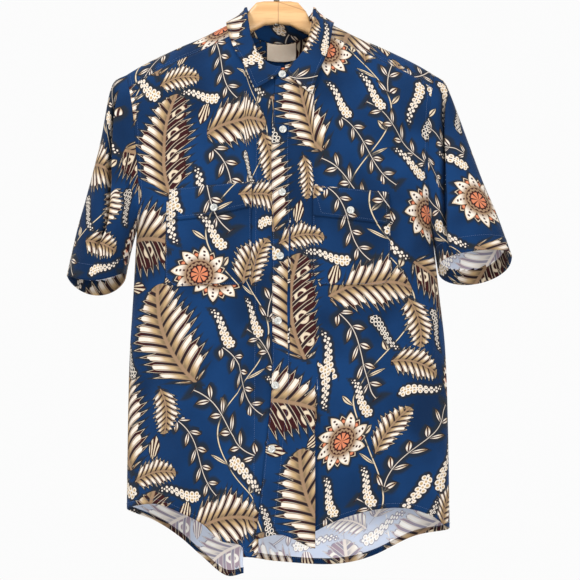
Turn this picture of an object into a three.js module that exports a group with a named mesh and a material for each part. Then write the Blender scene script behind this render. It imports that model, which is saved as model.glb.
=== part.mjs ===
// A short-sleeved cotton shirt that hangs open-necked on a wooden hanger.
// Units are millimetres, +Z is up, and the fronts face -Y. The origin is the inner top of the wire hook.
// Left and right are the wearer's, so the left front and sleeve are on the +X side.
import * as THREE from "three";

// Cloth
const WALL = 1.2;
const COLLAR_WALL = 1.6;
const LABEL_WALL = 1.0;
const HEM_WALL = 2;
const SEAM = 0.4;
const ON_PANEL = 0.7;
const OVERLAP_LIFT = 2.5;
const LAP_CLEAR = 4;
const LAP_EASE = 45;

// Body of the shirt
const FRONT_DEPTH = 62;
const BACK_DEPTH = 55;
const ROUND_DROP = 70;
const SECTION_POWER = 2.6;
const RIDGE_RADIUS = 27.4;
const ARMPIT_Z = -433;
const YOKE_FRONT_Q = -50;
const YOKE_BACK_Z = -222;
const YOKE_BACK_FALL = 42;

// Neck
const NECK_HALF = 62;
const NECK_FRONT_Q = -148;
const NECK_BACK_Q = 60;
const NECK_Z = -150;
const TOP_EDGE_PAST = 7;
const UNDER_EDGE_PAST = 17;

// Centre line, ridge of the shoulders and half widths, each by height or by distance from the centre
const CENTRE_X = [
  { z: -90, x: 5 },
  { z: -250, x: 7 },
  { z: -400, x: 11 },
  { z: -535, x: 15 },
  { z: -620, x: 17 },
  { z: -960, x: 18 },
];
const RIDGE = [
  { d: 0, z: -93 },
  { d: 30, z: -95 },
  { d: 62, z: -105 },
  { d: 122, z: -136 },
  { d: 154, z: -150 },
  { d: 210, z: -178 },
  { d: 256, z: -207 },
];
const ARMHOLE = [
  { z: -190, d: 236 },
  { z: -252, d: 225 },
  { z: -320, d: 220 },
  { z: -400, d: 217 },
  { z: -433, d: 222 },
];
const SIDE = [
  { z: -433, d: 222 },
  { z: -535, d: 229 },
  { z: -620, d: 235 },
  { z: -735, d: 237 },
  { z: -960, d: 237 },
];
const SHOULDER_ROOM = 30;
const SHOULDER_ROOM_RISE = 60;

// Free edges: the left front's edge down the middle, and the hems from the middle to the side seams
const LEFT_EDGE = [
  { z: -190, x: 0 },
  { z: -250, x: -3 },
  { z: -322, x: -7 },
  { z: -405, x: -6 },
  { z: -685, x: -6 },
  { z: -763, x: -13 },
  { z: -832, x: -20 },
  { z: -910, x: -29 },
];
const RIGHT_EDGE = [
  { z: -190, x: 24 },
  { z: -405, x: 22 },
  { z: -685, x: 19 },
  { z: -763, x: 13 },
  { z: -832, x: 1 },
  { z: -910, x: -25 },
];
const HEM_RIGHT = [
  { x: -212, z: -857 },
  { x: -175, z: -856 },
  { x: -143, z: -868 },
  { x: -106, z: -887 },
  { x: -80, z: -911 },
  { x: -49, z: -919 },
  { x: -44, z: -933 },
  { x: -25, z: -935 },
];
// The left front's hem is measured along the cloth, so its fold's hidden stretch is in x too
const HEM_LEFT = [
  { x: -29, z: -910 },
  { x: 6, z: -903 },
  { x: 35, z: -914 },
  { x: 57, z: -923 },
  { x: 82, z: -914 },
  { x: 107, z: -900 },
  { x: 145, z: -881 },
  { x: 195, z: -866 },
  { x: 240, z: -863 },
  { x: 281, z: -873 },
  { x: 303, z: -886 },
];
const HEM_BACK = [
  { x: -222, z: -857 },
  { x: -178, z: -872 },
  { x: -142, z: -895 },
  { x: -110, z: -923 },
  { x: -75, z: -951 },
  { x: -50, z: -948 },
  { x: -32, z: -938 },
  { x: -12, z: -924 },
  { x: 40, z: -929 },
  { x: 110, z: -934 },
  { x: 151, z: -931 },
  { x: 189, z: -920 },
  { x: 242, z: -893 },
  { x: 294, z: -886 },
];

// Folds that double the cloth over itself: the edge's place, the hidden half and where it starts
const FRONT_FOLD = { edge: 57, reach: 22, from: -700, full: -890, facing: 1 };
const BACK_FOLD = { edge: -50, reach: 16, from: -800, full: -930, facing: -1 };
const FOLD_BEND = 1.6;
const FOLD_RISE = 60;
const FOLD_EASE = 90;
const FOLD_LINE_UP = 90;

// Sleeves: fold line over the top and fold line under the arm, from the armhole (0) to the cuff (1)
const SLEEVE_RIGHT = {
  side: -1,
  top: [
    { f: 0, x: -229, z: -194, depth: 31 },
    { f: 0.08, x: -247, z: -204, depth: 32 },
    { f: 0.16, x: -255, z: -226, depth: 35 },
    { f: 0.38, x: -267, z: -300, depth: 43 },
    { f: 0.64, x: -287, z: -388, depth: 50 },
    { f: 0.78, x: -299, z: -435, depth: 53 },
    { f: 1, x: -314, z: -508, depth: 56 },
  ],
  under: [
    { f: 0, x: -210, z: -433 },
    { f: 0.5, x: -219, z: -470 },
    { f: 1, x: -226, z: -505 },
  ],
  cuffLift: 0,
  cuffSag: 19,
  crease: [
    { z: -200, x: -246 },
    { z: -300, x: -250 },
    { z: -430, x: -253 },
    { z: -480, x: -272 },
    { z: -530, x: -285 },
  ],
};
const SLEEVE_LEFT = {
  side: 1,
  top: [
    { f: 0, x: 243, z: -194, depth: 31 },
    { f: 0.08, x: 258, z: -205, depth: 32 },
    { f: 0.16, x: 268, z: -230, depth: 35 },
    { f: 0.38, x: 293, z: -306, depth: 43 },
    { f: 0.64, x: 315, z: -372, depth: 50 },
    { f: 0.78, x: 332, z: -415, depth: 53 },
    { f: 1, x: 354, z: -482, depth: 56 },
  ],
  under: [
    { f: 0, x: 235, z: -433 },
    { f: 0.5, x: 239, z: -466 },
    { f: 1, x: 243, z: -495 },
  ],
  cuffLift: 14,
  cuffSag: 6,
  crease: [
    { z: -200, x: 253 },
    { z: -300, x: 254 },
    { z: -430, x: 254 },
    { z: -480, x: 258 },
    { z: -530, x: 262 },
  ],
};
const SLEEVE_STEPS = [0, 0.05, 0.11, 0.18, 0.28, 0.4, 0.53, 0.67, 0.81, 0.92, 1];
const CREASE_DEPTH = 11;
const CREASE_HALF = 12;
const CREASE_END = -470;
const SLEEVE_ROUND = 0.8;

// Rows and columns of the panels
const FRONT_ROWS_ABOVE = [0, 0.07, 0.18, 0.32, 0.47, 0.62, 0.76, 0.89, 1];
const BACK_ROWS_ABOVE = [0, 0.16, 0.34, 0.52, 0.7, 0.86, 1];
const ROWS_BELOW = [0.1, 0.23, 0.38, 0.53, 0.66, 0.77, 0.87, 0.94, 1];
const FRONT_NECK_ANGLES = [86, 72, 58, 45, 33];
const NECK_LAST_ANGLE = 33;
const YOKE_RIDGE_ROW = 4;
const YOKE_ROWS = [0, 0.11, 0.2, 0.28, 0.34, 0.4, 0.48, 0.6, 0.74, 0.87, 1];
const SEAM_COLUMNS = 7;
// The yoke's columns run from its front seam and the neck to the back seam, out to these distances
const YOKE_END_OUTER = 222;
const YOKE_END_JOIN = 108;
const YOKE_BACK_GAP = 0.6;
const YOKE_NECK_STARTS = [
  { angle: -13.2, end: 100 },
  { angle: -6.6, end: 92 },
  { angle: 0, end: 84 },
  { angle: 11, end: 77 },
  { angle: 22, end: 68 },
  { angle: 44, end: 50 },
  { angle: 66, end: 26 },
  { angle: 90, end: 0 },
];

// Collar: the stand's height and lean by the angle round the neck (0 side, 90 front or back)
const STAND_FRONT = { height: 18, lean: 5 };
const STAND_SIDE = { height: 17, lean: 9 };
const STAND_BACK = { height: 28, lean: 6 };
const LEAF_ROLL = 6;
const LEAF_ABOVE = 6;
const LEAF_TURN = 3.9;
const LEAF_CAP = 2.9;
const NECK_DEPTH_MID = 48;
const STAND_END_LEFT = 96.5;
const STAND_ENDS_RIGHT = [96, 105.9];
const STAND_LAP = 3.4;
const FOOT_INSET = 0.6;
const STAND_BUTTON_OUT = 1.8;
// Outer edge of the leaf, from its point round to the middle of the back
const LEAF_RIGHT = [
  { angle: 91, x: -32, z: -233 },
  { angle: 76, x: -38, z: -220 },
  { angle: 60, x: -46, z: -199 },
  { angle: 42, x: -60, z: -174 },
  { angle: 22, x: -69, z: -150 },
  { angle: 10, x: -74, z: -127 },
];
const LEAF_LEFT = [
  { angle: 83, x: 54, z: -242 },
  { angle: 76, x: 58, z: -226 },
  { angle: 60, x: 65, z: -204 },
  { angle: 42, x: 74, z: -180 },
  { angle: 22, x: 81, z: -152 },
  { angle: 10, x: 84, z: -128 },
];
const LEAF_SIDE = 80;
const LEAF_BACK = [
  { angle: 25, half: 75, z: -122 },
  { angle: 48, half: 58, z: -138 },
  { angle: 70, half: 31, z: -149 },
  { angle: 90, half: 0, z: -153 },
];

// Patches on the fronts: corners of the pockets and flaps
const POCKET_RIGHT = { x0: -163, x1: -37, top: -402, bottom: -534 };
const POCKET_LEFT = { x0: 54, x1: 169, top: -406, bottom: -534 };
const FLAP_RIGHT = {
  top: [
    { x: -159, z: -386 },
    { x: -36, z: -377 },
  ],
  bottom: [
    { x: -157, z: -434 },
    { x: -106, z: -430 },
    { x: -36, z: -415 },
  ],
};
const FLAP_LEFT = {
  top: [
    { x: 55, z: -383 },
    { x: 168, z: -391 },
  ],
  bottom: [
    { x: 63, z: -430 },
    { x: 120, z: -436 },
    { x: 167, z: -441 },
  ],
};
const FLAP_EASE = 10;
const POCKET_CORNER = 14;
const LABEL_GAP = 0.7;
const LABEL = { x0: -15, x1: 30, down: 28 };

// Buttons
const BUTTON_RADIUS = 5.6;
const BUTTON_THICK = 2.4;
const BUTTON_GAP = 0.7;
const BUTTONS = [
  { x: 10, z: -297 },
  { x: 9, z: -394 },
  { x: 6, z: -491 },
  { x: 3, z: -589 },
  { x: -1, z: -685 },
  { x: -6, z: -779 },
];
const STAND_BUTTON_X = 9;
const FLAP_BUTTONS = { right: { x: -92, z: -417 }, left: { x: 110, z: -421 } };

// Hanger
const HANGER_X = 1;
const ARM_GAP = 1.3;
const HANGER = [
  { d: 0, top: -75, bottom: -111, half: 7 },
  { d: 20, top: -75, bottom: -113, half: 7 },
  { d: 32, top: -77, bottom: -120, half: 7 },
  { d: 44, top: -91, bottom: -125, half: 7 },
  { d: 47, top: -97, bottom: -127, half: 7 },
  { d: 50, top: -108, bottom: -129, half: 7 },
  { d: 60, top: -112.5, bottom: -136, half: 7.5 },
];
// The arms lie just under the yoke; their lower edge and half width by distance from the middle
const HANGER_ARM = [
  { d: 74, high: 27, half: 8 },
  { d: 100, high: 26, half: 9 },
  { d: 135, high: 24, half: 10.5 },
  { d: 170, high: 23, half: 11.5 },
  { d: 202, high: 22, half: 11.5 },
  { d: 222, high: 19, half: 8.5 },
];
const HANGER_MIDDLE_POWER = 3.2;
const HANGER_ARM_POWER = 2;
const WIRE = 1.9;
const HOOK_RADIUS = 23;
const HOOK_STEM_TOP = -62;
const NUT_RADIUS = 4.5;
const NUT_HEIGHT = 2.5;
const BUTTON_SIDES = 16;
const HANGER_SIDES = 14;
const WOOD_TOP = -75;

const NAVY = new THREE.MeshStandardMaterial({ color: 0x24508c, roughness: 0.75, side: THREE.DoubleSide });
const CREAM = new THREE.MeshStandardMaterial({ color: 0xe2d9c0, roughness: 0.8 });
const PEARL = new THREE.MeshStandardMaterial({ color: 0xe9e8e2, roughness: 0.3 });
const WOOD = new THREE.MeshStandardMaterial({ color: 0xe3b67c, roughness: 0.5 });
const STEEL = new THREE.MeshStandardMaterial({ color: 0x8b8b8d, roughness: 0.35, metalness: 1 });

const rad = THREE.MathUtils.degToRad;
const mix = THREE.MathUtils.lerp;
const clamp = THREE.MathUtils.clamp;

function ease(t) {
  const c = clamp(t, 0, 1);
  return c * c * (3 - 2 * c);
}

// A smooth curve through a table's rows: the value of one named column by another
function through(rows, key, value) {
  const sorted = [...rows].sort((a, b) => a[key] - b[key]);
  const xs = sorted.map((r) => r[key]);
  const ys = sorted.map((r) => r[value]);
  const slopes = xs.map((_, i) => {
    const a = Math.max(i - 1, 0);
    const b = Math.min(i + 1, xs.length - 1);
    return (ys[b] - ys[a]) / (xs[b] - xs[a]);
  });
  return (at) => {
    if (at <= xs[0]) return ys[0];
    if (at >= xs.at(-1)) return ys.at(-1);
    const i = xs.findIndex((x) => x > at) - 1;
    const w = xs[i + 1] - xs[i];
    const t = (at - xs[i]) / w;
    const a = ys[i] * (1 + 2 * t) * (1 - t) ** 2 + slopes[i] * w * t * (1 - t) ** 2;
    return a + ys[i + 1] * t * t * (3 - 2 * t) + slopes[i + 1] * w * t * t * (t - 1);
  };
}

const centreX = through(CENTRE_X, "z", "x");
const ridgeZ = through(RIDGE, "d", "z");
const armholeD = through(ARMHOLE, "z", "d");
const sideD = through(SIDE, "z", "d");
const leftEdgeX = through(LEFT_EDGE, "z", "x");
const rightEdgeX = through(RIGHT_EDGE, "z", "x");

const ridgeAt = (x) => ridgeZ(Math.abs(x - centreX(NECK_Z)));
const dropOf = (q) => Math.hypot(q, RIDGE_RADIUS) - RIDGE_RADIUS;

// Half width that rounds the section off: the side seam, or a little outside the armhole above it
function sectionHalf(z) {
  if (z <= ARMPIT_Z) return sideD(z);
  return armholeD(z) + SHOULDER_ROOM * (1 - Math.exp((ARMPIT_Z - z) / SHOULDER_ROOM_RISE));
}

// The body at x and height z, side -1 for the front and 1 for the back: its point and outward direction
function body(x, z, side) {
  const half = sectionHalf(z);
  const across = x - centreX(z);
  const share = clamp(Math.abs(across) / half, 0, 1);
  const fade = Math.exp(-Math.max(ridgeAt(x) - z, 0) / ROUND_DROP);
  const deep = (side < 0 ? FRONT_DEPTH : BACK_DEPTH) * Math.sqrt(1 - fade);
  const left = 1 - share ** SECTION_POWER;
  const round = left ** (1 / SECTION_POWER);
  const slope = (ridgeAt(x + 1) - ridgeAt(x - 1)) / 2;
  const rise = (left * fade) / (2 * ROUND_DROP);
  const out = (Math.sign(across) * share ** (SECTION_POWER - 1) * (1 - fade)) / half - rise * slope;
  const depth = side < 0 ? FRONT_DEPTH : BACK_DEPTH;
  const forward = (side * left ** (1 - 1 / SECTION_POWER) * Math.sqrt(1 - fade)) / depth;
  return {
    point: new THREE.Vector3(x, side * deep * round, z),
    normal: new THREE.Vector3(out, forward, rise).normalize(),
  };
}

// The same body by x and the way q over the ridge of the shoulders, front negative
const overRidge = (x, q) => body(x, ridgeAt(x) - dropOf(q), q < 0 ? -1 : 1);

function lifted(at, by) {
  return at.point.clone().addScaledVector(at.normal, by);
}

// How far a fold has risen at a height, and the length of its turned-back leg there
const foldRisen = (fold, z) => ease((fold.from + FOLD_RISE - z) / FOLD_RISE);
const foldLeg = (fold, z) => fold.reach * ease((fold.from - z) / (fold.from - fold.full));
const foldCloth = (fold, z) => 2 * Math.PI * FOLD_BEND + foldLeg(fold, z);
const foldHidden = (fold, z) => foldRisen(fold, z) * (foldCloth(fold, z) + foldLeg(fold, z));

// Where cloth that starts at x along shows: past the fold's edge it turns back, then on again behind
function folded(along, z, fold) {
  const risen = foldRisen(fold, z);
  const leg = foldLeg(fold, z);
  const start = fold.edge - FOLD_BEND;
  const past = along - start;
  const half = Math.PI * FOLD_BEND;
  if (past <= 0) {
    return { x: along, lift: fold.facing * risen * 4 * FOLD_BEND * ease((past + FOLD_EASE) / FOLD_EASE) };
  }
  let x = start - leg + (past - 2 * half - leg);
  let lift = 0;
  if (past < half) {
    x = start + FOLD_BEND * Math.sin(past / FOLD_BEND);
    lift = FOLD_BEND * (3 + Math.cos(past / FOLD_BEND));
  } else if (past < half + leg) {
    x = start - (past - half);
    lift = 2 * FOLD_BEND;
  } else if (past < 2 * half + leg) {
    const turn = (past - half - leg) / FOLD_BEND;
    x = start - leg - FOLD_BEND * Math.sin(turn);
    lift = FOLD_BEND * (1 + Math.cos(turn));
  }
  return { x: mix(along, x, risen), lift: fold.facing * risen * lift };
}

// Turns rows of outer points and rows of inner points into one closed wall
function wall(outer, inner, around = false) {
  const rows = outer.length;
  const cols = outer[0].length;
  const positions = [...outer.flat(), ...inner.flat()].flatMap((p) => [p.x, p.y, p.z]);
  const index = [];
  const out = (i, j) => i * cols + (j % cols);
  const inn = (i, j) => rows * cols + out(i, j);
  const quad = (a, b, c, d) => index.push(a, b, c, a, c, d);
  const spans = around ? cols : cols - 1;
  for (let j = 0; j < spans; j++) {
    for (let i = 0; i < rows - 1; i++) {
      quad(out(i, j), out(i + 1, j), out(i + 1, j + 1), out(i, j + 1));
      quad(inn(i, j), inn(i, j + 1), inn(i + 1, j + 1), inn(i + 1, j));
    }
    quad(out(0, j), out(0, j + 1), inn(0, j + 1), inn(0, j));
    quad(out(rows - 1, j + 1), out(rows - 1, j), inn(rows - 1, j), inn(rows - 1, j + 1));
  }
  for (let i = 0; i < rows - 1 && !around; i++) {
    quad(out(i, 0), inn(i, 0), inn(i + 1, 0), out(i + 1, 0));
    quad(out(i, cols - 1), out(i + 1, cols - 1), inn(i + 1, cols - 1), inn(i, cols - 1));
  }
  const geometry = new THREE.BufferGeometry();
  geometry.setAttribute("position", new THREE.Float32BufferAttribute(positions, 3));
  geometry.setIndex(index);
  return facingOut(geometry);
}

// Turns the faces round where a shape was listed inside out
function facingOut(geometry) {
  const place = geometry.getAttribute("position");
  const list = geometry.index.array;
  const corner = [new THREE.Vector3(), new THREE.Vector3(), new THREE.Vector3()];
  let volume = 0;
  for (let i = 0; i < list.length; i += 3) {
    corner.forEach((c, k) => c.fromBufferAttribute(place, list[i + k]));
    volume += corner[0].dot(corner[1].cross(corner[2]));
  }
  for (let i = 0; i < list.length && volume < 0; i += 3) {
    [list[i + 1], list[i + 2]] = [list[i + 2], list[i + 1]];
  }
  geometry.computeVertexNormals();
  return geometry;
}

// Outward directions of a grid of points, worked out from its neighbours and turned towards `facing`
function gridNormals(points, facing, around = false) {
  const rows = points.length;
  const cols = points[0].length;
  return points.map((row, i) =>
    row.map((_, j) => {
      const before = around ? row[(j + cols - 1) % cols] : row[Math.max(j - 1, 0)];
      const after = around ? row[(j + 1) % cols] : row[Math.min(j + 1, cols - 1)];
      const above = points[Math.max(i - 1, 0)][j];
      const below = points[Math.min(i + 1, rows - 1)][j];
      const normal = after.clone().sub(before).cross(below.clone().sub(above));
      return normal.multiplyScalar(facing).normalize();
    }),
  );
}

const movedBy = (points, normals, by) =>
  points.map((row, i) => row.map((p, j) => p.clone().addScaledVector(normals[i][j], by(i, j))));

function meshOf(name, geometry, material) {
  const mesh = new THREE.Mesh(geometry, material);
  mesh.name = name;
  return mesh;
}

// Neck seam: angle 0 is the side, 90 the middle of the front or back; side is 1 for +X, face -1 for front
function neckPlace(angle, side, face) {
  const x = centreX(NECK_Z) + side * NECK_HALF * Math.cos(rad(angle));
  const q = (face < 0 ? NECK_FRONT_Q : NECK_BACK_Q) * Math.sin(rad(angle));
  return { x, q };
}
const yokeNeckAngle = THREE.MathUtils.radToDeg(Math.asin(YOKE_FRONT_Q / NECK_FRONT_Q));

// Where the armhole or the side seam lies on the side given, at height z
const armholeX = (z, side) => centreX(z) + side * (z > ARMPIT_Z ? armholeD(z) : sideD(z));

// The height at which the armhole crosses a line that lies q over the ridge
function armholeCorner(q, side) {
  let z = -220;
  for (let k = 0; k < 12; k++) z = ridgeAt(armholeX(z, side)) - dropOf(q);
  return z;
}
const yokeBackZ = (x) => YOKE_BACK_Z - YOKE_BACK_FALL * ((x - centreX(NECK_Z)) / 230) ** 2;
const frontCornerZ = (side) => armholeCorner(YOKE_FRONT_Q, side);
const backCornerZ = (side) => yokeBackZ(armholeX(-262, side));

// Blends the four edges of a panel, each a list of {x, z}, into rows of {x, z}
function blended(top, bottom, inner, outer) {
  const share = bottom.map((p) => (p.x - bottom[0].x) / (bottom.at(-1).x - bottom[0].x));
  return inner.map((_, i) => {
    const v = (outer[i].z - outer[0].z) / (outer.at(-1).z - outer[0].z);
    return top.map((_, j) => {
      const at = (k) =>
        mix(top[j][k], bottom[j][k], v) +
        mix(inner[i][k], outer[i][k], share[j]) -
        mix(mix(top[0][k], bottom[0][k], v), mix(top.at(-1)[k], bottom.at(-1)[k], v), share[j]);
      return { x: at("x"), z: at("z") };
    });
  });
}

// Places of the six columns that turn at a fold, measured along the cloth at height z
function foldPlaces(fold, z) {
  const half = Math.PI * FOLD_BEND;
  const leg = foldLeg(fold, z);
  const start = fold.edge - FOLD_BEND;
  return [0, half / 2, half, half + leg, 1.5 * half + leg, 2 * half + leg].map((p) => start + p);
}

// Below its start a fold's columns run straight down; the others are spread evenly to either side
function lineUp(grid, fold, first, spread) {
  for (const row of grid) {
    const z = row[first].z;
    const pull = ease((fold.from + FOLD_RISE + FOLD_LINE_UP - z) / FOLD_LINE_UP);
    if (pull === 0) continue;
    const places = foldPlaces(fold, z);
    const x0 = row[0].x;
    const x1 = row.at(-1).x;
    row.forEach((p, j) => {
      let x = p.x;
      if (j < first) x = mix(x0, places[0], spread[j]);
      else if (j < first + 6) x = places[j - first];
      else x = mix(places[5], x1, spread[j]);
      p.x = mix(p.x, x, pull);
    });
  }
}

// Evenly growing shares from 0 to 1, closer together towards the outer end
const towardsSide = (count) =>
  Array.from({ length: count }, (_, k) => Math.sin((Math.PI / 2) * ((k + 1) / count) ** 1.1));

// A front panel's rows in cloth places. Its free edge is the first column and its side the last.
function frontPlan(side) {
  const hemZ = through(side > 0 ? HEM_LEFT : HEM_RIGHT, "x", "z");
  const freeX = side > 0 ? leftEdgeX : rightEdgeX;
  const cornerZ = frontCornerZ(side);
  const endZ = side > 0 ? HEM_LEFT.at(-1).z : HEM_RIGHT[0].z;
  const above = FRONT_ROWS_ABOVE.map((t) => mix(cornerZ, ARMPIT_Z, t));
  const below = ROWS_BELOW.map((t) => mix(ARMPIT_Z, endZ, t));
  const outer = [...above, ...below].map((z) => {
    const hidden = side > 0 ? foldHidden(FRONT_FOLD, z) : 0;
    return { x: armholeX(z, side) + hidden, z };
  });
  const past = side > 0 ? TOP_EDGE_PAST : UNDER_EDGE_PAST;
  const join = neckPlace(yokeNeckAngle, side, -1);
  const cornerX = armholeX(cornerZ, side);
  const neck = FRONT_NECK_ANGLES.map((a) => neckPlace(a, side, -1));
  const seam = towardsSide(SEAM_COLUMNS).map((t) => ({ x: mix(join.x, cornerX, t), q: YOKE_FRONT_Q }));
  const starts = [{ x: centreX(NECK_Z) - side * past, q: NECK_FRONT_Q }, ...neck, join, ...seam];
  if (side > 0) {
    const turn = [0.25, 0.5, 0.75].map((t) => neckPlace(mix(NECK_LAST_ANGLE, yokeNeckAngle, t), side, -1));
    starts.splice(1 + neck.length, 0, ...turn);
  }
  const top = starts.map(({ x, q }) => ({ x, z: ridgeAt(x) - dropOf(q) }));
  const startZ = top[0].z;
  const edgeEnd = hemZ(freeX(-905));
  const inner = outer.map(({ z }) => {
    const at = mix(startZ, edgeEnd, (z - cornerZ) / (endZ - cornerZ));
    return { x: freeX(at), z: at };
  });
  inner[0] = { ...top[0] };
  const from = inner.at(-1).x;
  const to = outer.at(-1).x;
  const spread = starts.map((p) => Math.abs((p.x - starts[0].x) / (starts.at(-1).x - starts[0].x)));
  const first = side > 0 ? neck.length + 1 : 0;
  const bottom = spread.map((s) => ({ x: mix(from, to, s) }));
  const share = [...spread];
  if (side > 0) {
    const places = foldPlaces(FRONT_FOLD, -910);
    spread.forEach((s, j) => {
      if (j < first) share[j] = s / spread[first];
      else if (j > first + 5) share[j] = (s - spread[first + 5]) / (1 - spread[first + 5]);
    });
    bottom.forEach((p, j) => {
      if (j < first) p.x = mix(from, places[0], share[j]);
      else if (j < first + 6) p.x = places[j - first];
      else p.x = mix(places[5], to, share[j]);
    });
  }
  bottom.forEach((p) => (p.z = hemZ(p.x)));
  bottom[0].z = inner.at(-1).z;
  bottom.at(-1).z = endZ;
  const grid = blended(top, bottom, inner, outer);
  if (side > 0) lineUp(grid, FRONT_FOLD, first, share);
  return grid;
}

// Lift of the left front where it lies on the right front, easing out to the side
const lapLift = (x, z) => OVERLAP_LIFT * (1 - ease((x - rightEdgeX(z) - LAP_CLEAR) / LAP_EASE));

// A point and direction on a front by its place on the cloth
function onFront(along, z, side) {
  const place = side > 0 ? folded(along, z, FRONT_FOLD) : { x: along, lift: 0 };
  const lift = place.lift + (side > 0 ? lapLift(place.x, z) : 0);
  const at = body(place.x, z, -1);
  at.point.addScaledVector(at.normal, lift);
  return at;
}

// Gives a panel's rows at the side seam their own direction and their half of the seam's gap
function closeSide(outer, normals, column, face, firstBelow) {
  outer.forEach((row, i) => {
    const p = row.at(column);
    const n = normals[i];
    n[column < 0 ? n.length + column : column] = body(p.x, p.z, face).normal;
    if (i >= firstBelow) p.y = (face * SEAM) / 2;
  });
}

const hemWall = (rows) => (i) => (i >= rows - 2 ? -HEM_WALL : -WALL);

function front(side) {
  const places = frontPlan(side).map((row) => row.map((p) => onFront(p.x, p.z, side)));
  const outer = places.map((row) => row.map((p) => p.point));
  const own = places.map((row) => row.map((p) => p.normal));
  const normals = side > 0 ? gridNormals(outer, -1) : own;
  closeSide(outer, normals, -1, -1, FRONT_ROWS_ABOVE.length - 1);
  return wall(outer, movedBy(outer, normals, hemWall(outer.length)));
}

// The back below the yoke, from the wearer's right side seam to the left one
function backPlan() {
  const hemZ = through(HEM_BACK, "x", "z");
  const edge = (side) => {
    const cornerZ = backCornerZ(side) - YOKE_BACK_GAP;
    const endZ = side > 0 ? HEM_BACK.at(-1).z : HEM_BACK[0].z;
    const above = BACK_ROWS_ABOVE.map((t) => mix(cornerZ, ARMPIT_Z, t));
    const below = ROWS_BELOW.map((t) => mix(ARMPIT_Z, endZ, t));
    return [...above, ...below].map((z) => {
      const hidden = side > 0 ? foldHidden(BACK_FOLD, z) : 0;
      return { x: armholeX(z, side) + hidden, z };
    });
  };
  const inner = edge(-1);
  const outer = edge(1);
  const middle = BACK_FOLD.edge;
  const ends = [inner[0].x, outer[0].x];
  const left = towardsSide(6).map((t) => mix(middle - 6, ends[0], t)).reverse();
  const right = towardsSide(11).map((t) => mix(middle + 10, ends[1], t));
  const turns = [0, 1, 2, 3, 4, 5].map((k) => middle - 6 + 3.2 * k);
  const tops = [...left, ...turns, ...right];
  const first = left.length;
  const top = tops.map((x) => ({ x, z: yokeBackZ(x) - YOKE_BACK_GAP }));
  top[0].z = inner[0].z;
  top.at(-1).z = outer[0].z;
  const places = foldPlaces(BACK_FOLD, -940);
  const share = tops.map((x, j) => {
    if (j < first) return (x - tops[0]) / (tops[first] - tops[0]);
    return (x - tops[first + 5]) / (tops.at(-1) - tops[first + 5]);
  });
  const bottom = tops.map((_, j) => {
    let x = mix(places[5], outer.at(-1).x, share[j]);
    if (j < first) x = mix(inner.at(-1).x, places[0], share[j]);
    else if (j < first + 6) x = places[j - first];
    return { x, z: hemZ(x) };
  });
  bottom[0].z = inner.at(-1).z;
  bottom.at(-1).z = outer.at(-1).z;
  const grid = blended(top, bottom, inner, outer);
  lineUp(grid, BACK_FOLD, first, share);
  return grid;
}

function back() {
  const outer = backPlan().map((row) =>
    row.map((p) => {
      const place = folded(p.x, p.z, BACK_FOLD);
      return lifted(body(place.x, p.z, 1), place.lift);
    }),
  );
  const normals = gridNormals(outer, 1);
  closeSide(outer, normals, 0, 1, BACK_ROWS_ABOVE.length - 1);
  closeSide(outer, normals, -1, 1, BACK_ROWS_ABOVE.length - 1);
  return wall(outer, movedBy(outer, normals, hemWall(outer.length)));
}

// The yoke's columns start on the front seams and round the neck, and end on the back seam
function yokeColumns(side) {
  const join = neckPlace(yokeNeckAngle, side, -1);
  const corner = armholeX(frontCornerZ(side), side);
  const shares = [0, ...towardsSide(SEAM_COLUMNS)].reverse();
  const seam = shares.map((t) => ({
    x: mix(join.x, corner, t),
    q: YOKE_FRONT_Q + SEAM,
    end: mix(YOKE_END_JOIN, YOKE_END_OUTER, t),
  }));
  const neck = YOKE_NECK_STARTS.map((c) => {
    const face = c.angle < 0 ? -1 : 1;
    return { ...neckPlace(Math.abs(c.angle), side, face), end: c.end };
  });
  return [...seam, ...neck].map(({ x, q, end }, j) => {
    const endZ = backCornerZ(side);
    const endX = j === 0 ? armholeX(endZ, side) : centreX(NECK_Z) + side * end;
    const drop = ridgeAt(endX) - yokeBackZ(endX) + RIDGE_RADIUS;
    return { x, q, endX, endQ: Math.sqrt(drop ** 2 - RIDGE_RADIUS ** 2) };
  });
}

function yoke() {
  const right = yokeColumns(-1);
  const left = yokeColumns(1).slice(0, -1).reverse();
  const columns = [...right, ...left];
  const last = columns.length - 1;
  const at = YOKE_ROWS.map((t) =>
    columns.map((c, j) => {
      const q = mix(c.q, c.endQ, t);
      let x = mix(c.x, c.endX, t);
      if (j === 0 || j === last) {
        const side = j === 0 ? -1 : 1;
        for (let k = 0; k < 12; k++) x = armholeX(ridgeAt(x) - dropOf(q), side);
      }
      return overRidge(x, q);
    }),
  );
  const outer = at.map((row) => row.map((p) => p.point));
  const normals = at.map((row) => row.map((p) => p.normal));
  return { outer, normals };
}

// The armhole's loop: up the front's edge, over the yoke's and down the back's, the armpit first
function armholeLoop(side) {
  const cornerZ = frontCornerZ(side);
  const rising = FRONT_ROWS_ABOVE.map((t) => mix(cornerZ, ARMPIT_Z, t)).reverse();
  const frontEdge = rising.map((z) => body(armholeX(z, side), z, -1));
  const shoulders = yoke();
  const column = side < 0 ? 0 : shoulders.outer[0].length - 1;
  const over = YOKE_ROWS.map((_, i) => ({
    point: shoulders.outer[i][column],
    normal: shoulders.normals[i][column],
  })).slice(1, -1);
  const backTop = backCornerZ(side) - YOKE_BACK_GAP;
  const falling = BACK_ROWS_ABOVE.map((t) => mix(backTop, ARMPIT_Z, t)).slice(0, -1);
  const backEdge = falling.map((z) => body(armholeX(z, side), z, 1));
  return [...frontEdge, ...over, ...backEdge];
}

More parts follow.
